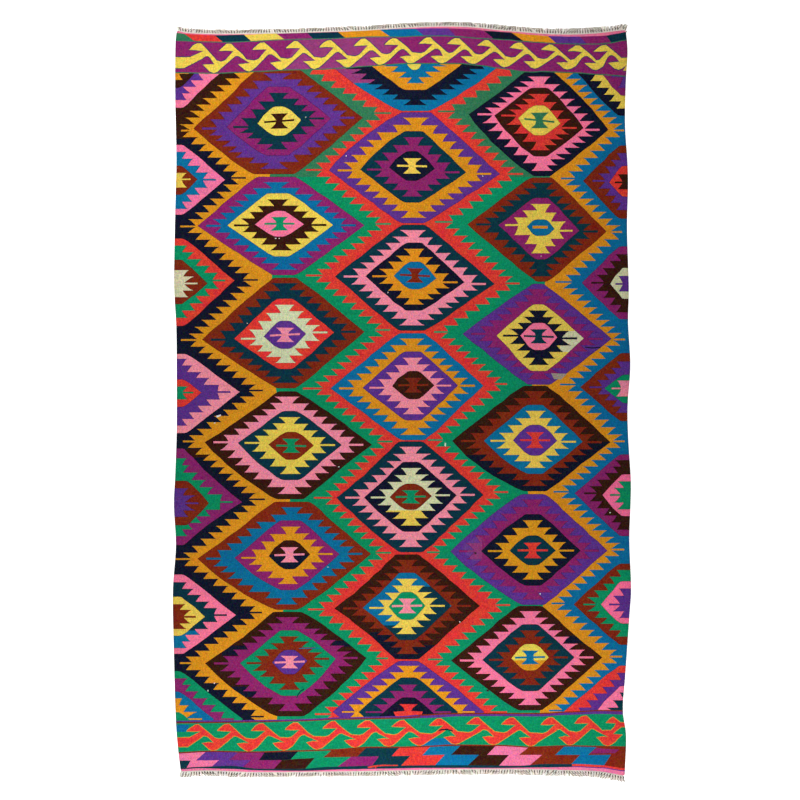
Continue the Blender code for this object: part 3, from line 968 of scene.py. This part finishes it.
UPPER_BLOCKS = (
    Block("border pink", 205.5, 196), Block("purple", 238, 229), Block("magenta", 264.5, 259),
    Block("navy", 298, 290.6), Block("green", 331.5, 323.4), Block("rust", 366, 357),
    Block("dark teal", 399, 391.7), Block("red", 430, 422), Block("blue", 460.5, 451),
    Block("dark brown", 495.5, 487), Block("border pink", 528, 519), Block("rust", 564, 555),
    Block("blue", 596.6, 588), Block("rust", 645, 645),
)
LOWER_BLOCKS = (
    Block("dark teal", 190.8, 186.8), Block("border pink", 219, 212), Block("purple", 251, 243),
    Block("magenta", 282, 274), Block("dark brown", 314.7, 305.3), Block("green", 351, 337.5),
    Block("magenta", 379, 372), Block("dark teal", 410.5, 401), Block("red", 444.6, 435),
    Block("blue", 479, 468), Block("dark brown", 509, 499), Block("border pink", 542, 530),
    Block("rust", 580, 571), Block("blue", 611, 604), Block("rust", 645, 645),
)

strip("purple", FIELD_END_BOTTOM, BELOW_THE_CLOTH)
strip("rust", shifted(FIELD_END_BOTTOM, 1.3), shifted(FIELD_END_BOTTOM, 2.7), FAR_LEFT, 420)
strip("rust", shifted(FIELD_END_BOTTOM, -0.2), shifted(FIELD_END_BOTTOM, 1.1), 418, FAR_RIGHT)
strip("green", SCROLL_TOP_BOTTOM, BELOW_THE_CLOTH)
red_scroll = scroll(
    SCROLL_TOP_BOTTOM, SCROLL_FOOT_BOTTOM, BOTTOM_CRESTS, BOTTOM_FEET,
    [(188, 746.4), (168, 746.8), (168, 738), (184, 737.6), (190, 737.4)],
    [(604, 730.4), (611, 730.4), (614.5, 727), (616, 723), (606, 722.6), (610, 718.8), (613, 717),
     (616.5, 719.6), (620, 722.4), (636, 723), (636, 726.4), (621, 726.6), (616, 730.4), (612.5, 734),
     (622, 734.6), (617, 739)],
    sag=0.012,
)
lay("blue", [(170, 724.6), (190, 724.6), (186, 731.6), (170, 731.8)])
lay("blue", [(414, 745.6), (424, 741.5), (434, 738.2), (446, 738), (456, 742.5), (458, 745.4)])
lay("orange", widened(red_scroll, RED_SCROLL_EDGE))
lay("red", red_scroll)
lay("navy", [(437, 731.2), (441, 729), (447, 728.4), (453, 730.4), (453, 731.4), (447, 730),
             (441, 730.4)])
strip("rust", shifted(SCROLL_FOOT_BOTTOM, -0.5), BELOW_THE_CLOTH)
slanting_blocks(UPPER_BLOCKS, shifted(SCROLL_FOOT_BOTTOM, 0.8), ROW_FOOT)
lay("magenta", [(597, 747.6), (604, 748.6), (619, 749.4), (615, 753), (590, 753.4)])
strip("rust", ROW_FOOT, BELOW_THE_CLOTH)
slanting_blocks(LOWER_BLOCKS, ROW_FOOT, BLOCKS_FOOT)
strip("dark teal", BLOCKS_FOOT, BELOW_THE_CLOTH, FAR_LEFT, YARN_CHANGES)
strip("red", BLOCKS_FOOT, BELOW_THE_CLOTH, YARN_CHANGES, FAR_RIGHT)
strip("purple", shifted(STRIPE_TOP_BOTTOM, -0.9), BELOW_THE_CLOTH, YARN_CHANGES, FAR_RIGHT)
lay("red", [(367.6, 766.6), (374, 765.4), (382, 764.6), (398, 764.8), (398, 765.8), (383, 765.9),
            (376.4, 766.6), (376.2, 768.6), (375.2, 768.6), (375, 766.8), (368.4, 768.1)])
strip("border pink", STRIPE_TOP_BOTTOM, BELOW_THE_CLOTH)
bottom_blocks = len(UPPER_BLOCKS) + len(LOWER_BLOCKS)
print("the bottom border has", len(BOTTOM_CRESTS), "hooks and", bottom_blocks, "blocks")

# %% [markdown]
# In the top border the magenta is paler between two hooks of the scroll, so one more shape, which
# shows over magenta alone, swaps the yarn there.

# %% Where the top border's magenta is paler
lay("paler magenta",
    [(296.5, 39.9), (330, 39), (370, 37.4), (395, 37.3), (379, 84), (279, 84)], "magenta")
print("shapes on the chart:", len(chart))

# %% [markdown]
# ## The wool's colours
#
# Each yarn is written as a dyer's card would show it, in red, green and blue from 0 to 255. A
# render adds up light, so the card is turned into amounts of reflected light first. Wool from one
# dye bath still varies from ball to ball, so every shape gets a shade of its own.

# %% The yarns
# the slit card is no yarn but painted shadow: the dark line round each shape stands in for the shade in
# the slits where two colours meet
YARNS = {
    "magenta": (130, 39, 100), "orange": (210, 138, 34), "navy": (21, 27, 44), "dark brown": (55, 30, 20),
    "rust": (121, 42, 25), "red": (213, 57, 52), "green": (5, 136, 93), "sea green": (51, 115, 82),
    "blue": (2, 105, 148), "pink": (234, 116, 152),
    "dusty pink": (230, 136, 154), "hot pink": (240, 108, 148), "border pink": (222, 114, 153),
    "purple": (89, 51, 133), "dark teal": (4, 53, 66), "yellow": (220, 193, 80), "cream": (202, 202, 165),
    "deep blue": (20, 52, 96), "lint": (222, 218, 214), "repair": (150, 141, 128), "slit shadow": (26, 18, 16),
    "paler magenta": (138, 58, 114), "faded purple": (100, 58, 134), "stain": (58, 34, 44),
}
PHOTO_LIGHT = 1.12  # how much brighter the card looks in the studio light than it is
SURFACE_HAZE = 0.003  # what the matt surface adds to every colour
LEAST_LIGHT = 0.0008  # no yarn is darker than this
BALL_TO_BALL = 0.045


def reflected(card):
    """The light a colour card reflects, in red, green and blue, by the usual screen formula."""
    light = [v / 255 / 12.92 if v <= 10 else ((v / 255 + 0.055) / 1.055) ** 2.4 for v in card]
    return [max(amount - SURFACE_HAZE, LEAST_LIGHT) / PHOTO_LIGHT for amount in light]


shades = [
    [share * (1 + shaky(BALL_TO_BALL)) for share in reflected(YARNS[shape.yarn])] for shape in chart
]
print("yarns:", len(YARNS), "shades:", len(shades))

# %% [markdown]
# ## The cloth
#
# The CAD cloth is a plain slab with the rug's uneven outline. We read that outline off its
# underside, cut the whole chart into triangles with it, and give each triangle the yarn that lies
# on top there. A grid of loose points between them lets the cloth ripple a little.

# %% Read the outline off the CAD cloth
ON_THE_FLOOR = 1e-5  # a corner lower than this is on the underside
cad_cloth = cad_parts["kilim_cloth"]
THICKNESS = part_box("kilim_cloth")[1][2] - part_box("kilim_cloth")[0][2]


def loop_around(triangles):
    """The vertices around a patch of triangles, in order, counterclockwise like the triangles."""
    edges = {(t[i], t[(i + 1) % len(t)]) for t in triangles for i in range(len(t))}
    follows = {a: b for a, b in edges if (b, a) not in edges}
    loop = [min(follows)]
    while follows[loop[-1]] != loop[0]:
        loop.append(follows[loop[-1]])
    return loop


def outline_of(cad_node):
    """The outline of a flat CAD slab's underside, counterclockwise seen from above."""
    places = [tuple(round(v, 6) for v in vertex.co) for vertex in cad_node.data.vertices]
    under = [[places[v] for v in polygon.vertices] for polygon in cad_node.data.polygons]
    under = [corners for corners in under if all(corner[2] < ON_THE_FLOOR for corner in corners)]
    return [np.array(corner[:2]) for corner in loop_around(under)][::-1]


def outward_normals(ring):
    """The direction away from a counterclockwise ring, at each of its points."""
    ring = np.asarray(ring)
    along = np.roll(ring, -1, axis=0) - np.roll(ring, 1, axis=0)
    along /= np.linalg.norm(along, axis=1)[:, None]
    return np.stack([along[:, 1], -along[:, 0]], axis=1)


cloth_ring = np.array(outline_of(cad_cloth))
print("points in the outline:", len(cloth_ring), " thickness:", round(THICKNESS, 4))

# %% Cut the chart into triangles
EDGE_ROUND = 0.0015  # how far the top's edge lies in from the cloth's side
GRID, GRID_SHAKE = 0.016, 0.15  # the loose points' spacing, and the share of it that they stray
SAME_PLACE = 1e-5  # points closer together than this become one


def counterclockwise(points):
    area = sum(a[0] * b[1] - b[0] * a[1] for a, b in zip(points, points[1:] + points[:1]))
    return points if area > 0 else points[::-1]


def cut(rings, loose):
    """Triangles that respect every ring, and for each one the rings it lies in."""
    points, faces = [], []
    for ring in rings:
        faces.append(list(range(len(points), len(points) + len(ring))))
        points += [Vector(point) for point in ring]
    points += [Vector(point) for point in loose]
    cut_points, _, triangles, _, _, inside = delaunay_2d_cdt(points, [], faces, 0, SAME_PLACE, True)
    return np.array(cut_points), triangles, inside


def yarn_on_top(inside):
    """The index of the shape that shows where a triangle lies, or None where there is none."""
    top = None
    for index in sorted(inside):
        shape = chart[index - 1]
        if shape.only_over is None or (top is not None and shape.only_over == chart[top].yarn):
            top = index - 1
    return top


top_ring = cloth_ring - outward_normals(cloth_ring) * EDGE_ROUND
rings = [[tuple(point) for point in top_ring]]
rings += [counterclockwise([on_rug(*point) for point in shape.points]) for shape in chart]
low, high = cloth_ring.min(axis=0), cloth_ring.max(axis=0)
loose = []
for row, y in enumerate(np.arange(low[1], high[1], GRID)):
    for x in np.arange(low[0] + GRID * 0.5 * (row % 2), high[0], GRID):
        loose.append((x + shaky(GRID * GRID_SHAKE), y + shaky(GRID * GRID_SHAKE)))
cut_points, cut_triangles, inside = cut(rings, loose)
kept = [i for i, ids in enumerate(inside) if 0 in ids]
triangles = [cut_triangles[i] for i in kept]
yarn_of = [yarn_on_top([k for k in inside[i] if k > 0]) for i in kept]
print("triangles on the top:", len(triangles), " without a yarn:", sum(y is None for y in yarn_of))

# %% [markdown]
# A kilim has the same pattern on both faces, so the underside is the top turned over. Between the
# two, the side swells out to the CAD outline, as wefts do where they turn back round the last
# warp. Every face carries its yarn's shade as a colour, which the material reads later on.

# %% Build the cloth's mesh
Ripple = namedtuple("Ripple", "size across along start")
RIPPLES = (
    Ripple(0.0005, 3.1, 1.9, 0.4), Ripple(0.0004, -1.7, 5.2, 2.1), Ripple(0.0003, 7.3, 3.7, 4.0),
)


def rise(x, y):
    """How far the cloth stands off the floor: it never lies quite flat."""
    return sum(r.size * (1 + np.sin(x * r.across + y * r.along + r.start)) for r in RIPPLES)


def new_piece(name, points, faces, face_colours):
    """A smooth mesh object at the origin, whose every face carries a colour."""
    mesh = bpy.data.meshes.new(name)
    mesh.from_pydata(points.tolist(), [], faces)
    colours = mesh.color_attributes.new(name="yarn", type="FLOAT_COLOR", domain="CORNER")
    opaque = [[*colour, 1.0] for colour in face_colours]
    colours.data.foreach_set("color", np.repeat(opaque, [len(face) for face in faces], axis=0).ravel())
    mesh.shade_smooth()
    piece = bpy.data.objects.new(name, mesh)
    bpy.context.scene.collection.objects.link(piece)
    print(name, "has", len(faces), "faces")
    return piece


used = sorted({v for triangle in triangles for v in triangle})
place_of = {v: i for i, v in enumerate(used)}
triangles = [tuple(place_of[v] for v in triangle) for triangle in triangles]
flat_points = cut_points[used]
count = len(flat_points)
edge = loop_around(triangles)
side = flat_points[edge] + outward_normals(flat_points[edge]) * EDGE_ROUND
height = np.repeat([THICKNESS, 0.0, THICKNESS / 2], [count, count, len(edge)])
flat_all = np.concatenate([flat_points, flat_points, side])
height += rise(flat_all[:, 0], flat_all[:, 1])

colour_beside = {}
for triangle, yarn in zip(triangles, yarn_of):
    for a, b in zip(triangle, triangle[1:] + triangle[:1]):
        colour_beside[a, b] = yarn
faces = list(triangles) + [tuple(count + v for v in reversed(triangle)) for triangle in triangles]
face_yarns = yarn_of + yarn_of
for k, (a, b) in enumerate(zip(edge, edge[1:] + edge[:1])):
    side_a, side_b = 2 * count + k, 2 * count + (k + 1) % len(edge)
    faces += [(a, side_a, side_b, b), (side_a, count + a, count + b, side_b)]
    face_yarns += [colour_beside[a, b]] * 2

cloth = new_piece("woven_cloth", np.column_stack([flat_all, height]), faces,
                  [shades[yarn] for yarn in face_yarns])

# %% [markdown]
# The cloth's picture map keeps the top large and square-on. The underside goes into the strip
# beside it, smaller, because it is rarely seen.

# %% Lay out the picture map
TOP_SCALE, UNDER_SCALE = 1 / 3.03, 0.185
TOP_CORNER, UNDER_CORNER = (0.004, 0.004), (0.64, 0.004)


def map_place(vertex, scale, corner):
    x, y = flat_all[vertex] - low
    return corner[0] + x * scale, corner[1] + y * scale


bake_map = cloth.data.uv_layers.new(name="OFBake")
places = []
for i, face in enumerate(faces):
    under = len(triangles) <= i < 2 * len(triangles) or (i >= 2 * len(triangles) and (i % 2) == 1)
    scale, corner = (UNDER_SCALE, UNDER_CORNER) if under else (TOP_SCALE, TOP_CORNER)
    for vertex in face:
        places += map_place(vertex, scale, corner)
bake_map.data.foreach_set("uv", places)
print("the top is", round(TOP_SCALE / UNDER_SCALE, 2), "times as large on the map as the underside")

# %% [markdown]
# ## The look of the wool
#
# In a flat weave each weft passes over one warp and under the next, so the surface is a field of
# small bumps in ribs that run the length of the rug, and each rib's bumps sit half a step off its
# neighbour's. Over that lie the slower changes: streaks along the warps, bars along the wefts
# where the spinning changed, and the soft mottle of hand-dyed wool.

# %% A few helpers to build materials
class Recipe:
    """A material's nodes, added one at a time."""

    def __init__(self, name):
        self.material = bpy.data.materials.new(name)
        self.material.use_nodes = True
        self.tree = self.material.node_tree

    def feed(self, sockets, values):
        """Links each input to another node's output, or sets it to a plain value."""
        for name, value in dict(values).items():
            if isinstance(value, bpy.types.NodeSocket):
                self.tree.links.new(value, sockets[name])
            else:
                sockets[name].default_value = value

    def surface(self, values):
        """Feeds the material's shader, and gives the finished material."""
        self.feed(self.tree.nodes["Principled BSDF"].inputs, values)
        return self.material

    def node(self, kind, inputs=(), output=0, **settings):
        node = self.tree.nodes.new(kind)
        for name, value in settings.items():
            setattr(node, name, value)
        self.feed(node.inputs, inputs)
        return node.outputs[output]

    def math(self, operation, a, b=0.0, c=0.0):
        return self.node("ShaderNodeMath", {0: a, 1: b, 2: c}, operation=operation)

    def vector(self, operation, a, b, c=(0.0, 0.0, 0.0)):
        return self.node("ShaderNodeVectorMath", {0: a, 1: b, 2: c}, operation=operation)

    def noise(self, vector, scale, detail=2.0, roughness=0.5):
        return self.node("ShaderNodeTexNoise", {"Vector": vector, "Scale": scale, "Detail": detail,
                                                "Roughness": roughness})

    def bump(self, height, strength, distance):
        return self.node("ShaderNodeBump", {"Height": height, "Strength": strength, "Distance": distance})

    def arch(self, steps, power):
        """Rises from 0 and falls back across each whole step. A small power makes it flat on top."""
        half_turn = self.math("MULTIPLY", self.math("FRACT", steps), math.pi)
        return self.math("POWER", self.math("SINE", half_turn), power)

    def yarn(self, swings):
        """The yarn's colour, with each 0 to 1 pattern swinging it round 1 by its amount each way."""
        factors = [self.math("MULTIPLY_ADD", source, 2 * amount, 1 - amount) for source, amount in swings]
        total = factors[0]
        for factor in factors[1:]:
            total = self.math("MULTIPLY", total, factor)
        colour = self.node("ShaderNodeAttribute", attribute_name="yarn")
        return self.node("ShaderNodeVectorMath", {0: colour, "Scale": total}, operation="SCALE")


print("what a recipe can do:", [name for name in vars(Recipe) if not name.startswith("_")])

# %% The woven wool
RIB, BUMP_LENGTH = 0.0032, 0.0026
RIB_CURVE, BUMP_CURVE = 0.7, 0.5
STREAKS_STRETCH, BARS_STRETCH = (190.0, 55.0, 1.0), (18.0, 150.0, 1.0)
# the weave's swing is painted shade: it darkens the colour in the grooves between the weave's bumps and
# lightens their tops
STITCHES, STREAKS, BARS, MOTTLE, WEAR, RIB_GROOVE_SHADE = 0.06, 0.23, 0.13, 0.18, 0.12, 0.07  # shade swings
TINT, FIBRES = 0.42, 0.018  # how much a stitch's own colour scales the yarn's, and adds to it
FIBRES_LOW = -0.56  # where that addition starts, as a share of it
DARKEST = 0.0005
DYE_HUE, STITCH_HUE, LEAST_HUE = 0.02, 0.008, 0.4865  # a hue of 0.5 leaves the colour as it is
FUZZ = 0.25  # how high the fuzz stands beside the weave's own bumps


def wool():
    recipe = Recipe("kilim_wool")
    place = recipe.node("ShaderNodeTexCoord", output="Object")
    axes = recipe.node("ShaderNodeSeparateXYZ", {0: place}).node.outputs

    # the weave: which rib and which bump, and how far across each
    across = recipe.math("MULTIPLY", axes[0], 1 / RIB)
    rib = recipe.math("FLOOR", across)
    half_step = recipe.math("MULTIPLY", recipe.math("FLOORED_MODULO", rib, 2.0), 0.5)
    along = recipe.math("MULTIPLY_ADD", axes[1], 1 / BUMP_LENGTH, half_step)
    weave = recipe.math("MULTIPLY", recipe.arch(across, RIB_CURVE), recipe.arch(along, BUMP_CURVE))
    cell = recipe.node("ShaderNodeCombineXYZ", {0: rib, 1: recipe.math("FLOOR", along)})
    stitch = recipe.node("ShaderNodeTexWhiteNoise", {"Vector": cell}, noise_dimensions="2D")

    # the slower changes of colour: streaks along the warps, bars along the wefts, mottle, wear
    streaks = recipe.noise(recipe.vector("MULTIPLY", place, STREAKS_STRETCH), 1.0, detail=1.0)
    bars = recipe.noise(recipe.vector("MULTIPLY", place, BARS_STRETCH), 1.0, detail=1.0)
    mottle = recipe.noise(place, 240.0, roughness=0.6)
    wear = recipe.noise(place, 5.0, detail=4.0, roughness=0.6)
    # painted shade: the weave's bump pattern also makes the colour darker in the grooves and lighter on
    # the bumps' tops
    shade = recipe.yarn(((stitch, STITCHES), (streaks, STREAKS), (bars, BARS), (mottle, MOTTLE),
                         (wear, WEAR), (weave, RIB_GROOVE_SHADE)))

    # fibres of other colours in the yarn: each stitch is a little redder, greener or bluer
    stitch_colour = stitch.node.outputs["Color"]
    tint = recipe.vector("MULTIPLY_ADD", stitch_colour, (TINT,) * 3, (1 - TINT / 2,) * 3)
    fibres = recipe.vector("MULTIPLY_ADD", stitch_colour, (FIBRES,) * 3, (FIBRES * FIBRES_LOW,) * 3)
    shade = recipe.vector("MULTIPLY_ADD", shade, tint, fibres)
    shade = recipe.vector("MAXIMUM", shade, (DARKEST,) * 3)
    speck = recipe.node("ShaderNodeSeparateColor", {0: stitch_colour})
    dye = recipe.noise(place, 21.0)
    hue = recipe.math("MULTIPLY_ADD", dye, DYE_HUE,
                      recipe.math("MULTIPLY_ADD", speck, STITCH_HUE, LEAST_HUE))

    # the surface: matt, a little fuzzy, bumpy
    relief = recipe.math("MULTIPLY_ADD", recipe.noise(place, 900.0), FUZZ, weave)
    return recipe.surface({
        "Base Color": recipe.node("ShaderNodeHueSaturation", {"Hue": hue, "Color": shade}),
        "Normal": recipe.bump(relief, strength=0.55, distance=0.0006),
        "Roughness": recipe.math("MULTIPLY_ADD", mottle, 0.12, 0.84),
        "Specular IOR Level": 0.03,
        "Sheen Weight": 0.015,
        "Sheen Roughness": 0.6,
    })


cloth.data.materials.append(wool())
print("material:", cloth.data.materials[0].name)

# %% [markdown]
# ## The warp ends
#
# At each end the warps come out of the cloth as a thick short fringe. It is made of locks that
# all lean the same way for a hand's width and then the other way. We model one strand, a thin
# tapering tube, and plant copies of its mesh along the cloth's ends. Each copy runs from inside
# the cloth to where the CAD fringe says it should reach.

# %% Model one warp end
STRAND_SIDES, STRAND_RINGS = 5, 4
STRAND_THICK = 0.0014

bpy.ops.object.select_all(action="DESELECT")
bpy.ops.mesh.primitive_cylinder_add(
    vertices=STRAND_SIDES, radius=STRAND_THICK, depth=1, location=(0, 0, 0.5)
)
strand = bpy.context.object
strand.name = "one_warp_end"
bpy.ops.object.mode_set(mode="EDIT")
bpy.ops.mesh.select_mode(type="EDGE")
bpy.ops.mesh.select_all(action="DESELECT")
bpy.ops.object.mode_set(mode="OBJECT")
for edge_line in strand.data.edges:
    ends = [strand.data.vertices[v].co.z for v in edge_line.vertices]
    edge_line.select = abs(ends[0] - ends[1]) > 0.5
bpy.ops.object.mode_set(mode="EDIT")
bpy.ops.mesh.subdivide(number_cuts=STRAND_RINGS - 2)
bpy.ops.object.mode_set(mode="OBJECT")
strand_points = np.array([tuple(v.co) for v in strand.data.vertices])
strand_points[:, 2] += 0.5 - (strand_points[:, 2].min() + strand_points[:, 2].max()) / 2
strand_faces = [tuple(polygon.vertices) for polygon in strand.data.polygons]
bpy.data.objects.remove(strand)
print("one strand has faces:", len(strand_faces))

# %% [markdown]
# The strands come in three sorts. A lock is four off-white ones. In the gap between two locks lie
# a pair of short dark ones and a grey one further out, which are painted shadow: they stand in for
# the shade in the gap between the locks. The table says for each sort how many there are and how
# often, how far apart, and how far to the side of the lock; between which distances from the
# cloth's end they start, and between which they stop, or None when they reach as far as the CAD
# fringe; how thick and how high they lie, in strand thicknesses; and their colour card.

# %% The three sorts of warp ends
LOCK_PITCH = 0.0108
ROOT_IN_CLOTH = 0.0012
WarpEnds = namedtuple("WarpEnds", "count chance spacing aside start stop thick height card")
AT_ROOT = (-ROOT_IN_CLOTH, -ROOT_IN_CLOTH)
WARP_ENDS = {
    "off-white": WarpEnds(4, 1.0, 0.0027, 0.0, AT_ROOT, None, (1.25, 1.45), 0.9, (224, 217, 207)),
    # painted shadow: short dark strands that stand in for the shade in the gap between two locks
    "dark": WarpEnds(
        2, 0.95, 0.0015, 0.0054, (0.0025, 0.005), (0.0105, 0.0145), (0.9, 1.25), 1.7, (46, 37, 30)
    ),
    # painted shade: grey strands that stand in for the paler shade further out in the gap
    "grey": WarpEnds(1, 0.9, 0.0, 0.0048, (0.009, 0.012), None, (1.1, 1.6), 1.7, (146, 134, 120)),
}
LAYER_STEP = 0.2  # every second strand of a lock lies this much higher, in strand thicknesses
STRAND_SHADES = (0.88, 1.06)
print("strands in a lock and its gap:", sum(ends.count for ends in WARP_ENDS.values()))

# %% Plant one strand
TAPER = 0.45  # how much thinner the tip is
AT_AN_END = 1.42  # a place of the outline further out than this is on one of the rug's ends
NEAR = 0.009  # how close a CAD point has to be to say how far a lock reaches


def end_line(sign):
    """The cloth's end as sorted columns and rows, in metres: sign is 1 at the top, -1 below."""
    far = [point for point in cloth_ring if sign * point[1] > AT_AN_END]
    return np.array(sorted(map(tuple, far)))


def reach_of(points, sign, x):
    """How far from the rug's middle the CAD fringe reaches, near a place across the rug."""
    near = points[np.abs(points[:, 0] - x) < NEAR]
    return (sign * near[:, 1]).max()


def planted(root, tip, thick, bend):
    """One strand's points, running from root to tip, thinner towards the tip."""
    t = strand_points[:, 2]
    taper = thick * (1 - TAPER * t**2)
    run = np.array(tip) - np.array(root)
    across = np.array([-run[1], run[0]]) / np.hypot(run[0], run[1])
    offset = strand_points[:, 0] * taper + bend * np.sin(math.pi * t)
    x = root[0] + run[0] * t + across[0] * offset
    y = root[1] + run[1] * t + across[1] * offset
    z = np.maximum(root[2] + run[2] * t + strand_points[:, 1] * taper, 0.0)
    return np.column_stack([x, y, z + rise(x, y)])


print("points along the cloth's ends:", len(end_line(1)), "and", len(end_line(-1)))

# %% Plant the strands along both ends
LEAN_WAVE = 0.24  # about how far along the end the lean takes to swing over and back
LEAN_PACE = (0.2, 1.8)  # how much slower or faster it swings from lock to lock
MOST_LEAN, LEAN_REACH, LEAN_AT_ROOT = 0.95, 0.6, 0.3
END_RUN, END_LEAN, END_LONGER = 0.06, 0.6, 0.002  # near the rug's corners the strands fan outwards
LONGER = (-0.0006, 0.0018)  # how much further than the CAD fringe a strand may reach
PLACE_SHAKE, LEAN_SHAKE, BEND_SHAKE = 0.0004, 0.0007, 0.0008
PAST_THE_FRINGE = 0.001  # how far past the CAD fringe's ends the locks go on


def fringe(name, cad_name, sign):
    cad_points = np.array([tuple(v.co)[:2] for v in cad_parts[cad_name].data.vertices])
    end_points = end_line(sign)

    def end_row(x):
        return sign * np.interp(x, end_points[:, 0], end_points[:, 1])

    first, last = cad_points[:, 0].min() - PAST_THE_FRINGE, cad_points[:, 0].max() + PAST_THE_FRINGE
    strands, shades_of_strands = [], []
    phase = hand.uniform(0, 2 * math.pi)
    for lock_x in np.arange(first, last, LOCK_PITCH):
        phase += 2 * math.pi * LOCK_PITCH / LEAN_WAVE * hand.uniform(*LEAN_PACE)
        near_end = max(0.0, 1 - min(lock_x - first, last - lock_x) / END_RUN)
        lean = mix(MOST_LEAN * math.sin(phase), math.copysign(END_LEAN, lock_x), near_end)
        long = reach_of(cad_points, sign, lock_x) - end_row(lock_x) + END_LONGER * near_end
        for ends in WARP_ENDS.values():
            if hand.random() > ends.chance:
                continue
            for k in range(ends.count):
                x = lock_x + ends.aside + (k - (ends.count - 1) / 2) * ends.spacing + shaky(PLACE_SHAKE)
                reach = hand.uniform(*ends.stop) if ends.stop else long + hand.uniform(*LONGER)
                swing = lean * reach * LEAN_REACH + shaky(LEAN_SHAKE)
                layer = STRAND_THICK * (ends.height + LAYER_STEP * (k % 2))
                start_row, stop_row = end_row(x) + hand.uniform(*ends.start), end_row(x) + reach
                root = (x - swing * LEAN_AT_ROOT, sign * start_row, layer)
                tip = (x + swing * (1 - LEAN_AT_ROOT), sign * stop_row, layer)
                strands.append(planted(root, tip, hand.uniform(*ends.thick), shaky(BEND_SHAKE)))
                shades_of_strands.append(
                    [share * hand.uniform(*STRAND_SHADES) for share in reflected(ends.card)]
                )
    size = len(strand_points)
    faces = [tuple(v + size * i for v in face) for i in range(len(strands)) for face in strand_faces]
    print(name, "has", len(strands), "strands")
    return new_piece(name, np.concatenate(strands), faces,
                     np.repeat(shades_of_strands, len(strand_faces), axis=0))


top_fringe = fringe("warp_ends_top", "fringe_top", 1)
bottom_fringe = fringe("warp_ends_bottom", "fringe_bottom", -1)

# %% The undyed warp yarn
TWIST_STRETCH = (420.0, 260.0, 420.0)
TWIST, DIRT = 0.14, 0.16  # shade swings


def warp_yarn():
    recipe = Recipe("warp_ends")
    place = recipe.node("ShaderNodeTexCoord", output="Object")
    twist = recipe.noise(recipe.vector("MULTIPLY", place, TWIST_STRETCH), 1.0)
    dirt = recipe.noise(place, 38.0, detail=3.0, roughness=0.6)
    return recipe.surface({
        "Base Color": recipe.yarn(((twist, TWIST), (dirt, DIRT))),
        "Normal": recipe.bump(twist, strength=0.5, distance=0.0004),
        "Roughness": recipe.math("MULTIPLY_ADD", dirt, 0.1, 0.86),
        "Specular IOR Level": 0.12,
        "Sheen Weight": 0.1,
    })


warp_material = warp_yarn()
for piece in (top_fringe, bottom_fringe):
    piece.data.materials.append(warp_material)
print("material:", warp_material.name)

# %% [markdown]
# ## Put each piece in its CAD solid's place
#
# The cloth and both fringes stand for the three CAD solids. The rug is one sheet, laid flat.

# %% Tie the pieces to the frame
for piece, node, slot in (
    (cloth, "kilim_cloth", "kilim_wool"),
    (top_fringe, "fringe_top", "warp_ends"),
    (bottom_fringe, "fringe_bottom", "warp_ends"),
):
    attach(piece, "root")
    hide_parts(node)
print("pieces on the frame:", [piece.name for piece in (cloth, top_fringe, bottom_fringe)])

# %% [markdown]
# ## The studio
#
# The rug lies on a plain pale floor under two soft lamps, one past each end and both a little to
# the left. The camera looks straight down from high up, and its picture is 3.2 m wide.

# %% The floor
FLOOR_SIZE, FLOOR_GAP = 14, 0.0004
bpy.ops.object.select_all(action="DESELECT")
bpy.ops.mesh.primitive_plane_add(size=FLOOR_SIZE, location=(0, 0, -FLOOR_GAP))
floor = bpy.context.object
floor.name = "studio_floor"
floor.data.materials.append(Recipe("studio_floor").surface({
    "Base Color": (0.96, 0.96, 0.96, 1),
    "Roughness": 1.0,
    "Emission Color": (1, 1, 1, 1),
    "Emission Strength": 0.6,
    "Specular IOR Level": 0.0,
}))
print("floor:", floor.name)

# %% The light
SKY_LIGHT, LAMP_SIZE = 0.325, 1.2
world = bpy.data.worlds.new("studio")
bpy.context.scene.world = world
world.use_nodes = True
world.node_tree.nodes["Background"].inputs["Color"].default_value = (1.0, 1.0, 1.0, 1)
world.node_tree.nodes["Background"].inputs["Strength"].default_value = SKY_LIGHT

Light = namedtuple("Light", "name place watts")
LIGHTS = (
    Light("lamp_at_the_top", (-0.42, 1.5, 1.9), 38.6),
    Light("lamp_at_the_foot", (-0.05, -2.1, 1.9), 56),
)
for light in LIGHTS:
    bpy.ops.object.light_add(type="AREA", location=light.place)
    lamp = bpy.context.object
    lamp.name = light.name
    lamp.data.shape = "DISK"
    lamp.data.size = LAMP_SIZE
    lamp.data.energy = light.watts
print("lamps:", len(LIGHTS))

# %% The camera
CAMERA_HEIGHT, PICTURE_WIDTH, SENSOR = 12.0, 3.2, 36.0
PICTURE_MIDDLE = on_rug(400, 400)
bpy.ops.object.camera_add(location=(*PICTURE_MIDDLE, CAMERA_HEIGHT), rotation=(0, 0, 0))
camera = bpy.context.object
camera.name = "overhead_camera"
camera.data.sensor_width = SENSOR
camera.data.lens = SENSOR * CAMERA_HEIGHT / PICTURE_WIDTH
camera.data.clip_end = 100
bpy.context.scene.camera = camera
bpy.context.scene.view_settings.view_transform = "Standard"
print("camera at", [round(v, 4) for v in camera.location], "lens", camera.data.lens)
